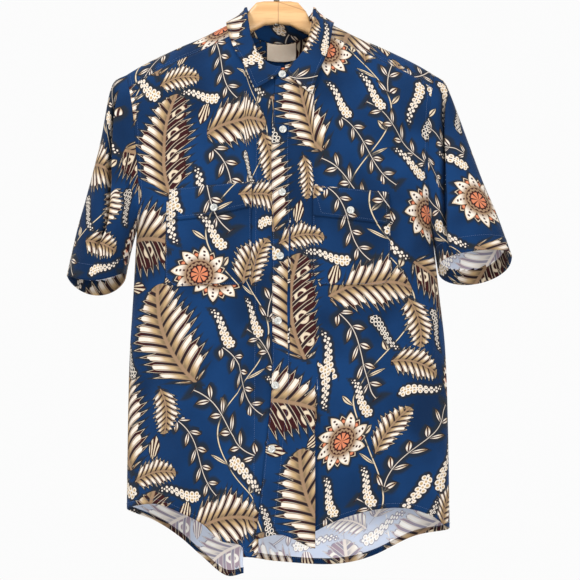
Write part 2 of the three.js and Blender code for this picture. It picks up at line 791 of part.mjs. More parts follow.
function sleeve(plan) {
  const loop = armholeLoop(plan.side);
  const gap = new THREE.Vector3(plan.side * SEAM, 0, 0);
  const topIndex = FRONT_ROWS_ABOVE.length + YOKE_RIDGE_ROW - 1;
  const turn = loop.map((_, k) =>
    k <= topIndex
      ? (Math.PI * k) / topIndex
      : Math.PI + (Math.PI * (k - topIndex)) / (loop.length - topIndex),
  );
  const line = (rows, key) => through(rows, "f", key);
  const top = { x: line(plan.top, "x"), z: line(plan.top, "z"), depth: line(plan.top, "depth") };
  const under = { x: line(plan.under, "x"), z: line(plan.under, "z") };
  const creaseX = through(plan.crease, "z", "x");
  const ring = (f, angle) => {
    const across = (1 - Math.cos(angle)) / 2;
    const deep = -Math.sign(Math.sin(angle)) * Math.abs(Math.sin(angle)) ** SLEEVE_ROUND;
    const depth = top.depth(f);
    return new THREE.Vector3(
      mix(under.x(f), top.x(f), across),
      depth * deep,
      mix(under.z(f), top.z(f), across) - (plan.cuffLift * deep + plan.cuffSag * deep * deep) * f * f,
    );
  };
  const outer = SLEEVE_STEPS.map((f) =>
    loop.map((at, k) => {
      const p = ring(f, turn[k]);
      const error = at.point.clone().add(gap).sub(ring(0, turn[k]));
      return p.addScaledVector(error, (1 - f) ** 3);
    }),
  );
  for (const row of outer.slice(2)) {
    for (const p of row) {
      if (p.y > -12) continue;
      const off = (p.x - creaseX(p.z)) / CREASE_HALF;
      const fade = ease((p.z - CREASE_END + 40) / 80) * ease((-p.y - 12) / 20);
      p.y += CREASE_DEPTH * fade * Math.exp(-off * off);
    }
  }
  const normals = gridNormals(outer, -plan.side, true);
  normals[0] = loop.map((at) => at.normal);
  const rows = outer.length;
  const inner = movedBy(outer, normals, (i) => (i === rows - 1 ? -HEM_WALL : -WALL));
  return wall(outer, inner, true);
}

// The neck seam from the wearer's left end, round the back, to the right end that lies underneath
function neckRound() {
  const places = [];
  const half = [...FRONT_NECK_ANGLES, yokeNeckAngle, 13.2, 6.6];
  const left = [STAND_END_LEFT, ...half];
  const right = [...[...half].reverse(), ...STAND_ENDS_RIGHT];
  const behind = [0, 11, 22, 44, 66];
  left.forEach((angle) => places.push({ angle, side: 1, face: -1 }));
  behind.forEach((angle) => places.push({ angle, side: 1, face: 1 }));
  places.push({ angle: 90, side: 1, face: 1 });
  [...behind].reverse().forEach((angle) => places.push({ angle, side: -1, face: 1 }));
  right.forEach((angle) => places.push({ angle, side: -1, face: -1 }));
  return places;
}

// Blend of the stand's sizes at an angle round the neck
function standSize(angle, face, key) {
  const end = face < 0 ? STAND_FRONT : STAND_BACK;
  return mix(STAND_SIDE[key], end[key], ease(Math.min(angle, 90) / 90));
}

// The stand's foot and top at a place round the neck, and the level way out from the neck
function standAt({ angle, side, face }) {
  const place = neckPlace(angle, side, face);
  const seam = overRidge(place.x, place.q);
  const out = new THREE.Vector3(
    (side * Math.cos(rad(angle))) / NECK_HALF,
    (face * Math.sin(rad(angle))) / NECK_DEPTH_MID,
    0,
  ).normalize();
  const onTop = side > 0 && face < 0;
  const lap = onTop ? STAND_LAP * ease((angle - 62) / 24) : 0;
  const foot = seam.point.clone().addScaledVector(out, lap - FOOT_INSET);
  foot.z += SEAM;
  const top = foot.clone().addScaledVector(out, -standSize(angle, face, "lean"));
  top.z += standSize(angle, face, "height");
  return { foot, top, out };
}

function collarStand() {
  const around = neckRound().map(standAt);
  const shares = [0, 0.5, 1];
  const outer = shares.map((t) => around.map((s) => s.foot.clone().lerp(s.top, t)));
  const ways = shares.map(() => around.map((s) => s.out));
  return wall(outer, movedBy(outer, ways, () => -COLLAR_WALL));
}

// Outer edge of the leaf as places round the neck: points of the fronts, shoulders and back
function leafEdge() {
  const lift = LEAF_ABOVE;
  const onBody = (x, z, face) => lifted(body(x, z, face), lift);
  const half = (rows, side) =>
    rows.map((r) => ({ angle: r.angle, side, face: -1, edge: onBody(r.x, r.z, -1) }));
  const mid = centreX(NECK_Z);
  const shoulder = (side) => ({
    angle: 0,
    side,
    face: 1,
    edge: lifted(overRidge(mid + side * LEAF_SIDE, 0), lift),
  });
  const behind = (side) =>
    LEAF_BACK.map((r) => ({ angle: r.angle, side, face: 1, edge: onBody(mid + side * r.half, r.z, 1) }));
  return [
    ...half(LEAF_LEFT, 1),
    shoulder(1),
    ...behind(1),
    ...behind(-1).slice(0, -1).reverse(),
    shoulder(-1),
    ...half(LEAF_RIGHT, -1).reverse(),
  ];
}

function collarLeaf() {
  const columns = leafEdge().map((c) => {
    const { top, out } = standAt(c);
    if (c.side < 0 && c.face < 0) top.addScaledVector(out, STAND_LAP * ease((c.angle - 66) / 18));
    const at = (outBy, up) => {
      const p = top.clone().addScaledVector(out, outBy);
      p.z += up;
      return p;
    };
    const start = at(LEAF_TURN, -LEAF_TURN / 2);
    const bend = start.clone().addScaledVector(out, LEAF_ROLL);
    bend.z -= 0.25 * c.edge.distanceTo(start);
    const over = [at(-COLLAR_WALL, LEAF_CAP), at(LEAF_TURN * 0.35, LEAF_CAP - 0.3)];
    return { over, start, bend, edge: c.edge };
  });
  const shares = [0, 0.25, 0.5, 0.75, 1];
  const falling = shares.map((t) =>
    columns.map((c) => {
      const p = c.start.clone().multiplyScalar((1 - t) ** 2);
      return p.addScaledVector(c.bend, 2 * t * (1 - t)).addScaledVector(c.edge, t * t);
    }),
  );
  const outer = [columns.map((c) => c.over[0]), columns.map((c) => c.over[1]), ...falling];
  const normals = gridNormals(outer, 1);
  return wall(outer, movedBy(outer, normals, () => -COLLAR_WALL));
}

// A patch on a front: rows and columns between a top and a bottom line, held off the panel
function patch(topZ, bottomZ, x0, x1, rows, cols, side, under, thick) {
  const grid = Array.from({ length: rows }, (_, i) =>
    Array.from({ length: cols }, (_, j) => {
      const x = mix(x0, x1, j / (cols - 1));
      const t = i / (rows - 1);
      return { t, at: onFront(x, mix(topZ(x), bottomZ(x), t), side) };
    }),
  );
  const lay = (extra) => grid.map((row) => row.map(({ t, at }) => lifted(at, under(t) + extra)));
  return wall(lay(thick), lay(0));
}

function pocket(size, side) {
  const rounded = (x) => {
    const edge = Math.min(x - size.x0, size.x1 - x);
    return size.bottom + POCKET_CORNER * (1 - ease(edge / POCKET_CORNER));
  };
  return patch(() => size.top, rounded, size.x0, size.x1, 9, 9, side, () => ON_PANEL, WALL);
}

function flap(plan, side) {
  const topZ = through(plan.top, "x", "z");
  const bottomZ = through(plan.bottom, "x", "z");
  const x0 = plan.top[0].x;
  const x1 = plan.top.at(-1).x;
  const over = (t) => mix(ON_PANEL, 2 * ON_PANEL + WALL, ease((t * 50) / FLAP_EASE));
  return patch(topZ, bottomZ, x0, x1, 6, 9, side, over, WALL);
}

function label() {
  const qs = [0, 1, 2, 3];
  const rows = qs.map((i) =>
    [0, 1, 2, 3, 4].map((j) => {
      const x = mix(LABEL.x0, LABEL.x1, j / 4);
      const start = labelStart(x);
      return overRidge(x, start + (LABEL.down * i) / 3);
    }),
  );
  const lay = (by) => rows.map((row) => row.map((at) => lifted(at, by)));
  return wall(lay(-WALL - LABEL_GAP), lay(-WALL - LABEL_GAP - LABEL_WALL));
}

// Just below the back neck seam at x
function labelStart(x) {
  const across = (x - centreX(NECK_Z)) / NECK_HALF;
  return NECK_BACK_Q * Math.sqrt(1 - across * across) + 1;
}

// A turned button with a raised rim, facing out along the cloth's direction
function button(name, at, above) {
  const rim = BUTTON_RADIUS;
  const profile = [
    [0, 0],
    [rim - 0.7, 0],
    [rim, 0.7],
    [rim, BUTTON_THICK - 0.5],
    [rim - 0.7, BUTTON_THICK],
    [rim - 1.7, BUTTON_THICK - 0.2],
    [rim - 2.5, BUTTON_THICK - 0.8],
    [0, BUTTON_THICK - 0.8],
  ].map(([r, h]) => new THREE.Vector2(r, h));
  const mesh = meshOf(name, new THREE.LatheGeometry(profile, BUTTON_SIDES), PEARL);
  mesh.quaternion.setFromUnitVectors(new THREE.Vector3(0, 1, 0), at.normal);
  mesh.position.copy(at.point).addScaledVector(at.normal, above);
  return mesh;
}

// Rounded sections of the hanger from tip to tip
function hangerBody() {
  const arms = [...HANGER_ARM].reverse();
  const middle = HANGER.slice(1);
  const place = (row, side) => ({ ...row, x: HANGER_X + side * row.d });
  const places = [
    ...arms.map((row) => place(row, -1)),
    ...[...middle].reverse().map((row) => place(row, -1)),
    place(HANGER[0], 1),
    ...middle.map((row) => place(row, 1)),
    ...HANGER_ARM.map((row) => place(row, 1)),
  ];
  const rings = places.map((row) => {
    const top = row.top ?? ridgeAt(row.x) - WALL - ARM_GAP;
    const high = (row.high ?? row.top - row.bottom) / 2;
    const power = row.high ? HANGER_ARM_POWER : HANGER_MIDDLE_POWER;
    return Array.from({ length: HANGER_SIDES }, (_, k) => {
      const a = (2 * Math.PI * (k + 0.5)) / HANGER_SIDES;
      const squash = (v) => Math.sign(v) * Math.abs(v) ** (2 / power);
      const z = top - high + high * squash(Math.sin(a));
      return new THREE.Vector3(row.x, row.half * squash(Math.cos(a)), z);
    });
  });
  return closedLoft(rings);
}

// Joins rings of points into a solid with flat ends
function closedLoft(rings) {
  const sides = rings[0].length;
  const positions = rings.flat().flatMap((p) => [p.x, p.y, p.z]);
  const index = [];
  for (let i = 0; i < rings.length - 1; i++) {
    for (let k = 0; k < sides; k++) {
      const a = i * sides + k;
      const b = i * sides + ((k + 1) % sides);
      index.push(a, b, b + sides, a, b + sides, a + sides);
    }
  }
  const last = (rings.length - 1) * sides;
  for (let k = 1; k < sides - 1; k++) {
    index.push(0, k + 1, k, last, last + k, last + k + 1);
  }
  const geometry = new THREE.BufferGeometry();
  geometry.setAttribute("position", new THREE.Float32BufferAttribute(positions, 3));
  geometry.setIndex(index);
  return facingOut(geometry);
}

// The wire hook: a stem out of the wood that turns over the origin
function hook() {
  const round = HOOK_RADIUS + WIRE;
  const stem = [WOOD_TOP + NUT_HEIGHT + SEAM, HOOK_STEM_TOP];
  const points = stem.map((z) => new THREE.Vector3(0, 0, z));
  for (let a = -48; a <= 205; a += 23) {
    points.push(
      new THREE.Vector3(round * Math.cos(rad(a)), 0, -HOOK_RADIUS + round * Math.sin(rad(a))),
    );
  }
  const path = new THREE.CatmullRomCurve3(points, false, "centripetal");
  const section = new THREE.Shape().absarc(0, 0, WIRE, 0, 2 * Math.PI);
  return new THREE.ExtrudeGeometry(section, { steps: 44, curveSegments: 5, extrudePath: path });
}

function disc(name, z) {
  const geometry = new THREE.CylinderGeometry(NUT_RADIUS, NUT_RADIUS, NUT_HEIGHT, 12);
  const mesh = meshOf(name, geometry, STEEL);
  mesh.rotation.x = Math.PI / 2;
  mesh.position.set(0, 0, z);
  return mesh;
}

const shirt = new THREE.Group();
const shoulders = yoke();
const yokeInner = movedBy(shoulders.outer, shoulders.normals, () => -WALL);
shirt.add(
  meshOf("front_right", front(-1), NAVY),
  meshOf("front_left", front(1), NAVY),
  meshOf("back", back(), NAVY),
  meshOf("yoke", wall(shoulders.outer, yokeInner), NAVY),
  meshOf("sleeve_right", sleeve(SLEEVE_RIGHT), NAVY),
  meshOf("sleeve_left", sleeve(SLEEVE_LEFT), NAVY),
  meshOf("collar_stand", collarStand(), NAVY),
  meshOf("collar_leaf", collarLeaf(), NAVY),
  meshOf("pocket_right", pocket(POCKET_RIGHT, -1), NAVY),
  meshOf("pocket_left", pocket(POCKET_LEFT, 1), NAVY),
  meshOf("pocket_flap_right", flap(FLAP_RIGHT, -1), NAVY),
  meshOf("pocket_flap_left", flap(FLAP_LEFT, 1), NAVY),
  meshOf("neck_label", label(), CREAM),
);
BUTTONS.forEach(({ x, z }, i) => shirt.add(button(`button_${i + 1}`, onFront(x, z, 1), BUTTON_GAP)));
const onFlap = 2 * ON_PANEL + 2 * WALL + BUTTON_GAP;
const { right, left } = FLAP_BUTTONS;
shirt.add(button("button_flap_right", onFront(right.x, right.z, -1), onFlap));
shirt.add(button("button_flap_left", onFront(left.x, left.z, 1), onFlap));
const standFront = standAt({ angle: 91, side: 1, face: -1 });
const standMiddle = standFront.foot.clone().lerp(standFront.top, 0.35);
standMiddle.x = STAND_BUTTON_X;
const standPlace = { point: standMiddle, normal: new THREE.Vector3(0, -1, 0) };
shirt.add(button("button_stand", standPlace, STAND_BUTTON_OUT));

const hanger = new THREE.Group();
hanger.add(meshOf("hanger_wood", hangerBody(), WOOD));
hanger.add(meshOf("hanger_hook", hook(), STEEL));
hanger.add(disc("hook_collar", WOOD_TOP + 0.3 + NUT_HEIGHT / 2));
hanger.add(disc("hook_nut", HANGER[0].bottom - 0.7 - NUT_HEIGHT / 2));

const model = new THREE.Group();
model.add(shirt, hanger);

export default model;
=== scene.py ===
# %% [markdown]
# # A printed cotton shirt on a wooden hanger
# The shirt hangs open-necked and empty, so it is built as what it is: thin cut panels with a hollow
# inside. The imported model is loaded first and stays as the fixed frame. Every visible piece is then made
# again, finer, in the place that the frame gives it. Lengths are in millimetres until a mesh is made.

# %% Load the frame
import math

import bmesh
import bpy
import numpy as np
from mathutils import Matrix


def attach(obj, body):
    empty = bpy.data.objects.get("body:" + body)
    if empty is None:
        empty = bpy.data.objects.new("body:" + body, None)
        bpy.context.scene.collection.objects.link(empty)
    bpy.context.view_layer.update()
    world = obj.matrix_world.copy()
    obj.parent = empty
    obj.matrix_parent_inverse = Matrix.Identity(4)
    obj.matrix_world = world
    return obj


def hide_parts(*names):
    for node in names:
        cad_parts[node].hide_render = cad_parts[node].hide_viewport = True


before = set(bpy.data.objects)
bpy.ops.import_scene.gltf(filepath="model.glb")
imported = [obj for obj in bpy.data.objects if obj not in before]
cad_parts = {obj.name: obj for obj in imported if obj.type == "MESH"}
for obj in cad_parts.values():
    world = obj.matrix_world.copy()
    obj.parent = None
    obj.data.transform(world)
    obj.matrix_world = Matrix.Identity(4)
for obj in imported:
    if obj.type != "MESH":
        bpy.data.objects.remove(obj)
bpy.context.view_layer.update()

MM = 0.001

# %% [markdown]
# ## The camera
# The shirt was photographed from a little below its middle, far enough away for the sides to stay
# nearly parallel. A long lens from 3.6 m gives the same picture. The shift stays at zero, because the
# other views keep it.

# %% Camera
CAMERA_TARGET = (0.0206, 0.0, -0.5287)
CAMERA_AWAY = 3.6
CAMERA_RISE = math.radians(12)
CAMERA_LENS = 148.97


def placed(name, data):
    """A new object in the scene that shows a mesh, a light or a camera."""
    made = bpy.data.objects.new(name, data)
    bpy.context.scene.collection.objects.link(made)
    return made


def make_camera():
    camera = placed("camera", bpy.data.cameras.new("camera"))
    camera.data.lens = CAMERA_LENS
    camera.data.sensor_width = 36
    x, y, z = CAMERA_TARGET
    back = CAMERA_AWAY * math.cos(CAMERA_RISE)
    camera.location = (x, y - back, z - CAMERA_AWAY * math.sin(CAMERA_RISE))
    camera.rotation_euler = (math.pi / 2 + CAMERA_RISE, 0, 0)
    camera.data.clip_start = 0.1
    camera.data.clip_end = 40
    bpy.context.scene.camera = camera
    return camera


print("camera at", [round(v, 3) for v in make_camera().location])

# %% [markdown]
# ## Smooth curves through a few numbers
# A pattern cutter marks a few points and joins them with a curve. Here each edge of the shirt is a short
# table, and a cubic curve runs through its rows. numpy evaluates a whole grid of points at once.

# %% Curves through tables
def ease(t):
    t = np.clip(t, 0.0, 1.0)
    return t * t * (3 - 2 * t)


def mix(a, b, t):
    return a + (b - a) * t


def through(rows):
    """A smooth curve through rows of (place, value), level beyond both ends."""
    rows = sorted(rows)
    xs = np.array([row[0] for row in rows], float)
    ys = np.array([row[1] for row in rows], float)
    before = np.maximum(np.arange(len(xs)) - 1, 0)
    after = np.minimum(np.arange(len(xs)) + 1, len(xs) - 1)
    slopes = (ys[after] - ys[before]) / (xs[after] - xs[before])

    def value(at):
        at = np.clip(np.asarray(at, float), xs[0], xs[-1])
        i = np.clip(np.searchsorted(xs, at, side="right") - 1, 0, len(xs) - 2)
        w = xs[i + 1] - xs[i]
        t = (at - xs[i]) / w
        s = 1 - t
        start = ys[i] * (1 + 2 * t) * s * s + slopes[i] * w * t * s * s
        return start + ys[i + 1] * t * t * (3 - 2 * t) - slopes[i + 1] * w * t * t * s

    return value


centre_x = through([(-90, 5), (-250, 7), (-400, 11), (-535, 15), (-620, 17), (-960, 18)])
ridge_z = through(
    [(0, -93), (30, -95), (62, -105), (122, -136), (154, -150), (210, -178), (256, -207)]
)
armhole_d = through([(-190, 236), (-252, 225), (-320, 220), (-400, 217), (-433, 222)])
side_d = through([(-433, 222), (-535, 229), (-620, 235), (-735, 237), (-960, 237)])
left_edge_x = through(
    [(-190, 0), (-250, -3), (-322, -7), (-405, -6), (-685, -6), (-763, -13), (-832, -20), (-910, -29)]
)
right_edge_x = through([(-190, 24), (-405, 22), (-685, 19), (-763, 13), (-832, 1), (-910, -25)])
print("shoulder ridge at its ends:", float(ridge_z(0)), float(ridge_z(256)))

# %% [markdown]
# ## The form of the hanging body
# Seen from above, an empty shirt on a hanger is a flat oval that closes at both side seams. Going up,
# the oval thins out and rolls over the ridge of the shoulders. One formula gives the point and the
# outward direction anywhere on it, and every panel, pocket and button is laid on it.

# %% Body surface
FRONT_DEPTH, BACK_DEPTH = 62, 55
ROUND_DROP = 70
SECTION_POWER = 2.6
RIDGE_RADIUS = 27.4
ARMPIT_Z = -433
NECK_Z = -150
SHOULDER_ROOM, SHOULDER_ROOM_RISE = 30, 60
NECK_X = float(centre_x(NECK_Z))


def unit(vectors):
    return vectors / np.maximum(np.linalg.norm(vectors, axis=-1, keepdims=True), 1e-9)


def ridge_at(x):
    return ridge_z(np.abs(x - NECK_X))


def drop_of(q):
    return np.hypot(q, RIDGE_RADIUS) - RIDGE_RADIUS


def section_half(z):
    room = SHOULDER_ROOM * (1 - np.exp(np.minimum(ARMPIT_Z - z, 0) / SHOULDER_ROOM_RISE))
    return np.where(z <= ARMPIT_Z, side_d(z), armhole_d(z) + room)


def body(x, z, side):
    """Points and outward directions of the body; side is -1 on the front and 1 on the back."""
    x, z, side = np.broadcast_arrays(np.asarray(x, float), z, side)
    half = section_half(z)
    across = x - centre_x(z)
    share = np.clip(np.abs(across) / half, 0, 1)
    fade = np.exp(-np.maximum(ridge_at(x) - z, 0) / ROUND_DROP)
    depth = np.where(side < 0, FRONT_DEPTH, BACK_DEPTH)
    left = 1 - share**SECTION_POWER
    y = side * depth * np.sqrt(1 - fade) * left ** (1 / SECTION_POWER)
    rise = left * fade / (2 * ROUND_DROP)
    slope = (ridge_at(x + 1) - ridge_at(x - 1)) / 2
    out = np.sign(across) * share ** (SECTION_POWER - 1) * (1 - fade) / half - rise * slope
    forward = side * left ** (1 - 1 / SECTION_POWER) * np.sqrt(1 - fade) / depth
    return np.stack([x, y, z], -1), unit(np.stack([out, forward, rise], -1))


def over_ridge(x, q):
    """The same surface by x and the way q over the shoulders, negative on the front."""
    q = np.asarray(q, float)
    return body(x, ridge_at(x) - drop_of(q), np.where(q < 0, -1, 1))


def armhole_x(z, side):
    z = np.asarray(z, float)
    return centre_x(z) + side * np.where(z > ARMPIT_Z, armhole_d(z), side_d(z))


print("chest depth front and back:", FRONT_DEPTH, BACK_DEPTH)

# %% [markdown]
# ## Creases listed one by one
# A worn cotton shirt is never smooth. Each crease is a short line across a panel with a width and a
# height, and it fades towards both ends. Troughs have a negative height. They are uneven on purpose:
# long and soft down the placket, short near the pockets, and leaning where the sleeves pull. The hidden
# back gets creases of the same kind.

# %% Creases
CREASE_ROOM = 26
CREASE_TOP_Z = -189
CREASE_SCALE = 2.1
CREASE_TAPER = (0.3, 0.35)


def crease_height(x, z, strokes):
    """Sum of soft ridges and troughs: each stroke is its points, its half width and its height."""
    total = np.zeros(np.shape(x))
    for points, width, height in strokes:
        points = np.array(points, float)
        spans = np.linalg.norm(np.diff(points, axis=0), axis=1)
        starts = np.concatenate([[0], np.cumsum(spans)])
        best = np.full(np.shape(x), 1e9)
        along = np.zeros(np.shape(x))
        for k, span in enumerate(spans):
            (x0, z0), (x1, z1) = points[k], points[k + 1]
            t = np.clip(((x - x0) * (x1 - x0) + (z - z0) * (z1 - z0)) / span**2, 0, 1)
            away = np.hypot(x - mix(x0, x1, t), z - mix(z0, z1, t))
            closer = away < best
            best = np.where(closer, away, best)
            along = np.where(closer, (starts[k] + t * span) / starts[-1], along)
        fade = ease(along / CREASE_TAPER[0]) * ease((1 - along) / CREASE_TAPER[1])
        total = total + CREASE_SCALE * height * fade * np.exp(-((best / width) ** 2))
    return total


FRONT_CREASES = {
    -1: [
        ([(-12, -262), (-15, -380), (-10, -520), (-17, -700), (-14, -850)], 7, 1.6),
        ([(-31, -300), (-34, -470), (-30, -640), (-38, -820)], 11, -1.7),
        ([(-70, -190), (-86, -262), (-92, -372)], 16, 1.5),
        ([(-205, -262), (-176, -312), (-150, -360)], 15, -2.2),
        ([(-196, -402), (-171, -470), (-182, -600)], 17, 2.2),
        ([(-214, -452), (-160, -552), (-120, -612)], 15, -2.3),
        ([(-60, -556), (-70, -668), (-55, -760)], 13, -1.5),
        ([(-128, -588), (-141, -712), (-131, -868)], 19, 2.3),
        ([(-96, -640), (-104, -760), (-101, -900)], 13, -2.2),
        ([(-190, -640), (-195, -760), (-184, -866)], 15, -2.0),
        ([(-182, -548), (-110, -560), (-42, -546)], 9, 1.0),
        ([(-60, -760), (-64, -830), (-58, -915)], 10, 1.6),
        ([(-222, -500), (-206, -590), (-214, -668)], 9, 1.7),
    ],
    1: [
        ([(22, -262), (25, -390), (20, -560), (23, -730), (19, -870)], 8, -1.5),
        ([(46, -330), (49, -480), (44, -690)], 10, 1.5),
        ([(92, -214), (106, -280), (108, -370)], 17, 1.6),
        ([(214, -264), (190, -318), (160, -366)], 14, -2.1),
        ([(218, -440), (186, -492), (190, -610)], 17, 2.3),
        ([(230, -470), (176, -566), (140, -640)], 15, -2.5),
        ([(84, -560), (78, -690), (94, -830)], 15, -1.8),
        ([(120, -600), (126, -740), (118, -890)], 17, 2.2),
        ([(160, -650), (166, -770), (158, -880)], 14, -2.2),
        ([(206, -640), (211, -750), (200, -862)], 17, 1.9),
        ([(60, -552), (120, -566), (196, -548)], 9, 1.1),
        ([(240, -520), (226, -610), (236, -700)], 9, 1.6),
        ([(150, -240), (170, -300), (196, -352)], 10, 1.1),
    ],
}
BACK_CREASES = [
    ([(-180, -250), (-150, -330), (-120, -430)], 19, 2.2),
    ([(192, -252), (160, -340), (140, -452)], 18, 2.2),
    ([(-206, -430), (-160, -520), (-100, -560)], 15, -2.4),
    ([(216, -430), (170, -516), (110, -560)], 15, -2.4),
    ([(-60, -262), (-66, -420), (-58, -640)], 22, -2.2),
    ([(-20, -262), (-16, -400), (-22, -610), (-14, -840)], 15, 2.3),
    ([(34, -262), (38, -440), (32, -700), (40, -900)], 13, -2.0),
    ([(76, -300), (84, -500), (78, -760)], 18, 2.0),
    ([(-130, -560), (-136, -720), (-126, -860)], 20, 2.4),
    ([(-180, -600), (-176, -730), (-168, -850)], 15, -2.2),
    ([(130, -580), (134, -720), (128, -900)], 16, -2.4),
    ([(180, -600), (186, -740), (176, -880)], 17, 2.3),
    ([(-90, -640), (-96, -760), (-88, -900)], 13, -2.0),
    ([(-160, -470), (0, -486), (150, -468)], 11, 1.2),
]
print("creases:", sum(map(len, FRONT_CREASES.values())) + len(BACK_CREASES))

# %% [markdown]
# ## Folds that double the cloth
# Towards the hem both the left front and the back turn over themselves once, like a pleat that nobody
# pressed. Along such a fold the cloth runs to an edge, turns back under itself and then on again. A
# place is measured along the cloth, so the cut stays whole however it is folded.

# %% Folded cloth
FRONT_FOLD = {"edge": 57, "reach": 22, "start": -728, "full": -890, "hem": -910, "facing": 1}
BACK_FOLD = {"edge": -50, "reach": 16, "start": -800, "full": -930, "hem": -940, "facing": -1}
FOLD_BEND = 1.6
FOLD_RISE = 42
FOLD_EASE = 90
FOLD_LINE_UP = 90
HALF_TURN = math.pi * FOLD_BEND
TURN_STEPS = np.linspace(0, 1, 9)


def fold_risen(fold, z):
    return ease((fold["start"] + FOLD_RISE - z) / FOLD_RISE)


def fold_leg(fold, z):
    return fold["reach"] * ease((fold["start"] - z) / (fold["start"] - fold["full"]))


def fold_hidden(fold, z):
    return fold_risen(fold, z) * (2 * HALF_TURN + 2 * fold_leg(fold, z))


def folded(along, z, fold):
    """Where cloth that lies at x along shows, and how far off the body its layer is."""
    leg = fold_leg(fold, z)
    start = fold["edge"] - FOLD_BEND
    past = along - start
    back_turn = (past - HALF_TURN - leg) / FOLD_BEND
    stages = [past <= 0, past < HALF_TURN, past < HALF_TURN + leg, past < 2 * HALF_TURN + leg]
    x = np.select(
        stages,
        [
            along,
            start + FOLD_BEND * np.sin(past / FOLD_BEND),
            start - (past - HALF_TURN),
            start - leg - FOLD_BEND * np.sin(back_turn),
        ],
        start - leg + (past - 2 * HALF_TURN - leg),
    )
    lift = np.select(
        stages,
        [
            4 * FOLD_BEND * ease((past + FOLD_EASE) / FOLD_EASE),
            FOLD_BEND * (3 + np.cos(past / FOLD_BEND)),
            2 * FOLD_BEND + 0 * past,
            FOLD_BEND * (1 + np.cos(back_turn)),
        ],
        0.0,
    )
    risen = fold_risen(fold, z)
    return np.where(past <= 0, along, mix(along, x, risen)), fold["facing"] * risen * lift


def fold_places(fold, z):
    """Places of the columns that follow one fold, measured along the cloth at height z."""
    leg = float(fold_leg(fold, z))
    turn = HALF_TURN * TURN_STEPS
    flat = HALF_TURN + leg * np.linspace(0, 1, 8)[1:]
    return fold["edge"] - FOLD_BEND + np.concatenate([turn, flat, (HALF_TURN + leg + turn)[1:]])


FOLD_COLUMNS = len(fold_places(FRONT_FOLD, FRONT_FOLD["hem"]))
print("columns that follow a fold:", FOLD_COLUMNS)

# %% [markdown]
# ## Panels from four edges
# A cut panel is known by its four edges. Blending the top with the bottom, and one side with the other,
# fills it with evenly spaced rows and columns. This is a Coons patch, laid out flat, and the body formula
# then gives each of its points a place in space.

# %% Panel grids
def blended(top, bottom, inner, outer):
    """Rows and columns of (x, z) between four edges."""
    share = ((bottom[:, 0] - bottom[0, 0]) / (bottom[-1, 0] - bottom[0, 0]))[None, :, None]
    down = ((outer[:, 1] - outer[0, 1]) / (outer[-1, 1] - outer[0, 1]))[:, None, None]
    across = mix(mix(top[0], bottom[0], down), mix(top[-1], bottom[-1], down), share)
    return mix(top[None], bottom[None], down) + mix(inner[:, None], outer[:, None], share) - across


def line_up(grid, fold, first, spread):
    """Turns the columns at a fold so that they run straight down it."""
    heights = grid[:, first, 1]
    pull = ease((fold["start"] + FOLD_RISE + FOLD_LINE_UP - heights) / FOLD_LINE_UP)
    for i in np.nonzero(pull)[0]:
        places = fold_places(fold, heights[i])
        near = mix(grid[i, 0, 0], places[0], spread[:first])
        far = mix(places[-1], grid[i, -1, 0], spread[first + FOLD_COLUMNS :])
        grid[i, :, 0] = mix(grid[i, :, 0], np.concatenate([near, places, far]), pull[i])


def hem_columns(x, fold, first, inner_x, outer_x):
    """Shares and places of the columns along a hem with a fold, from those along the top edge."""
    last = first + FOLD_COLUMNS - 1
    near = (x - x[0]) / (x[first] - x[0])
    far = (x - x[last]) / (x[-1] - x[last])
    spread = np.where(np.arange(len(x)) < first, near, far)
    places = fold_places(fold, fold["hem"])
    before = mix(inner_x, places[0], spread[:first])
    after = mix(places[-1], outer_x, spread[last + 1 :])
    return spread, np.concatenate([before, places, after])


def towards_side(count):
    """Shares from 0 to 1 that come closer together towards the outer end."""
    return np.sin(np.pi / 2 * np.linspace(0, 1, count) ** 1.1)


def grid_normals(points, facing, around=False):
    """Outward directions of a grid of points from its neighbours."""
    if around:
        across = np.roll(points, -1, axis=1) - np.roll(points, 1, axis=1)
    else:
        across = np.gradient(points, axis=1)
    return unit(facing * np.cross(across, np.gradient(points, axis=0)))


def lengths_along(points, axis):
    """Running length over a grid in one direction, starting at zero."""
    steps = np.linalg.norm(np.diff(points, axis=axis), axis=-1)
    pad = [(0, 0), (0, 0)]
    pad[axis] = (1, 0)
    return np.pad(np.cumsum(steps, axis=axis), pad)


print("shares that close up towards the side:", towards_side(5).round(2))


# %% Neck and yoke lines
NECK_HALF, NECK_FRONT_Q, NECK_BACK_Q = 62, -148, 60
YOKE_FRONT_Q = -50
YOKE_BACK_Z, YOKE_BACK_FALL = -222, 42
JOIN_ANGLE = math.degrees(math.asin(YOKE_FRONT_Q / NECK_FRONT_Q))
SEAM = 0.15


def neck_place(angle, side, face):
    """x and q of the neck seam; 0 degrees is the side of the neck and 90 its front or back."""
    turn = np.radians(angle)
    reach = np.where(np.asarray(face) < 0, NECK_FRONT_Q, NECK_BACK_Q)
    return NECK_X + side * NECK_HALF * np.cos(turn), reach * np.sin(turn)


def yoke_back_z(x):
    return YOKE_BACK_Z - YOKE_BACK_FALL * ((x - NECK_X) / 230) ** 2


def front_corner_z(side):
    z = -220.0
    for _ in range(12):
        z = float(ridge_at(armhole_x(z, side)) - drop_of(YOKE_FRONT_Q))
    return z


def back_corner_z(side):
    return float(yoke_back_z(armhole_x(-262, side)))


print("yoke meets the armhole at", round(front_corner_z(1), 1), round(back_corner_z(1), 1))

# %% [markdown]
# ## The print: motifs laid out on the bolt
# A printed shirt is cut from a bolt whose pattern repeats, here every 480 by 600 mm. Leaves, blooms,
# sprigs and berry chains are set out in three layers, so that small ones fill the gaps, and thin vines
# wind between them. The motifs are common tropical ones. Each face of a panel stores its corners' places
# inside the motif that covers it, as an attribute, and its place on the bolt as a UV map. The material
# then draws the motifs by formula.

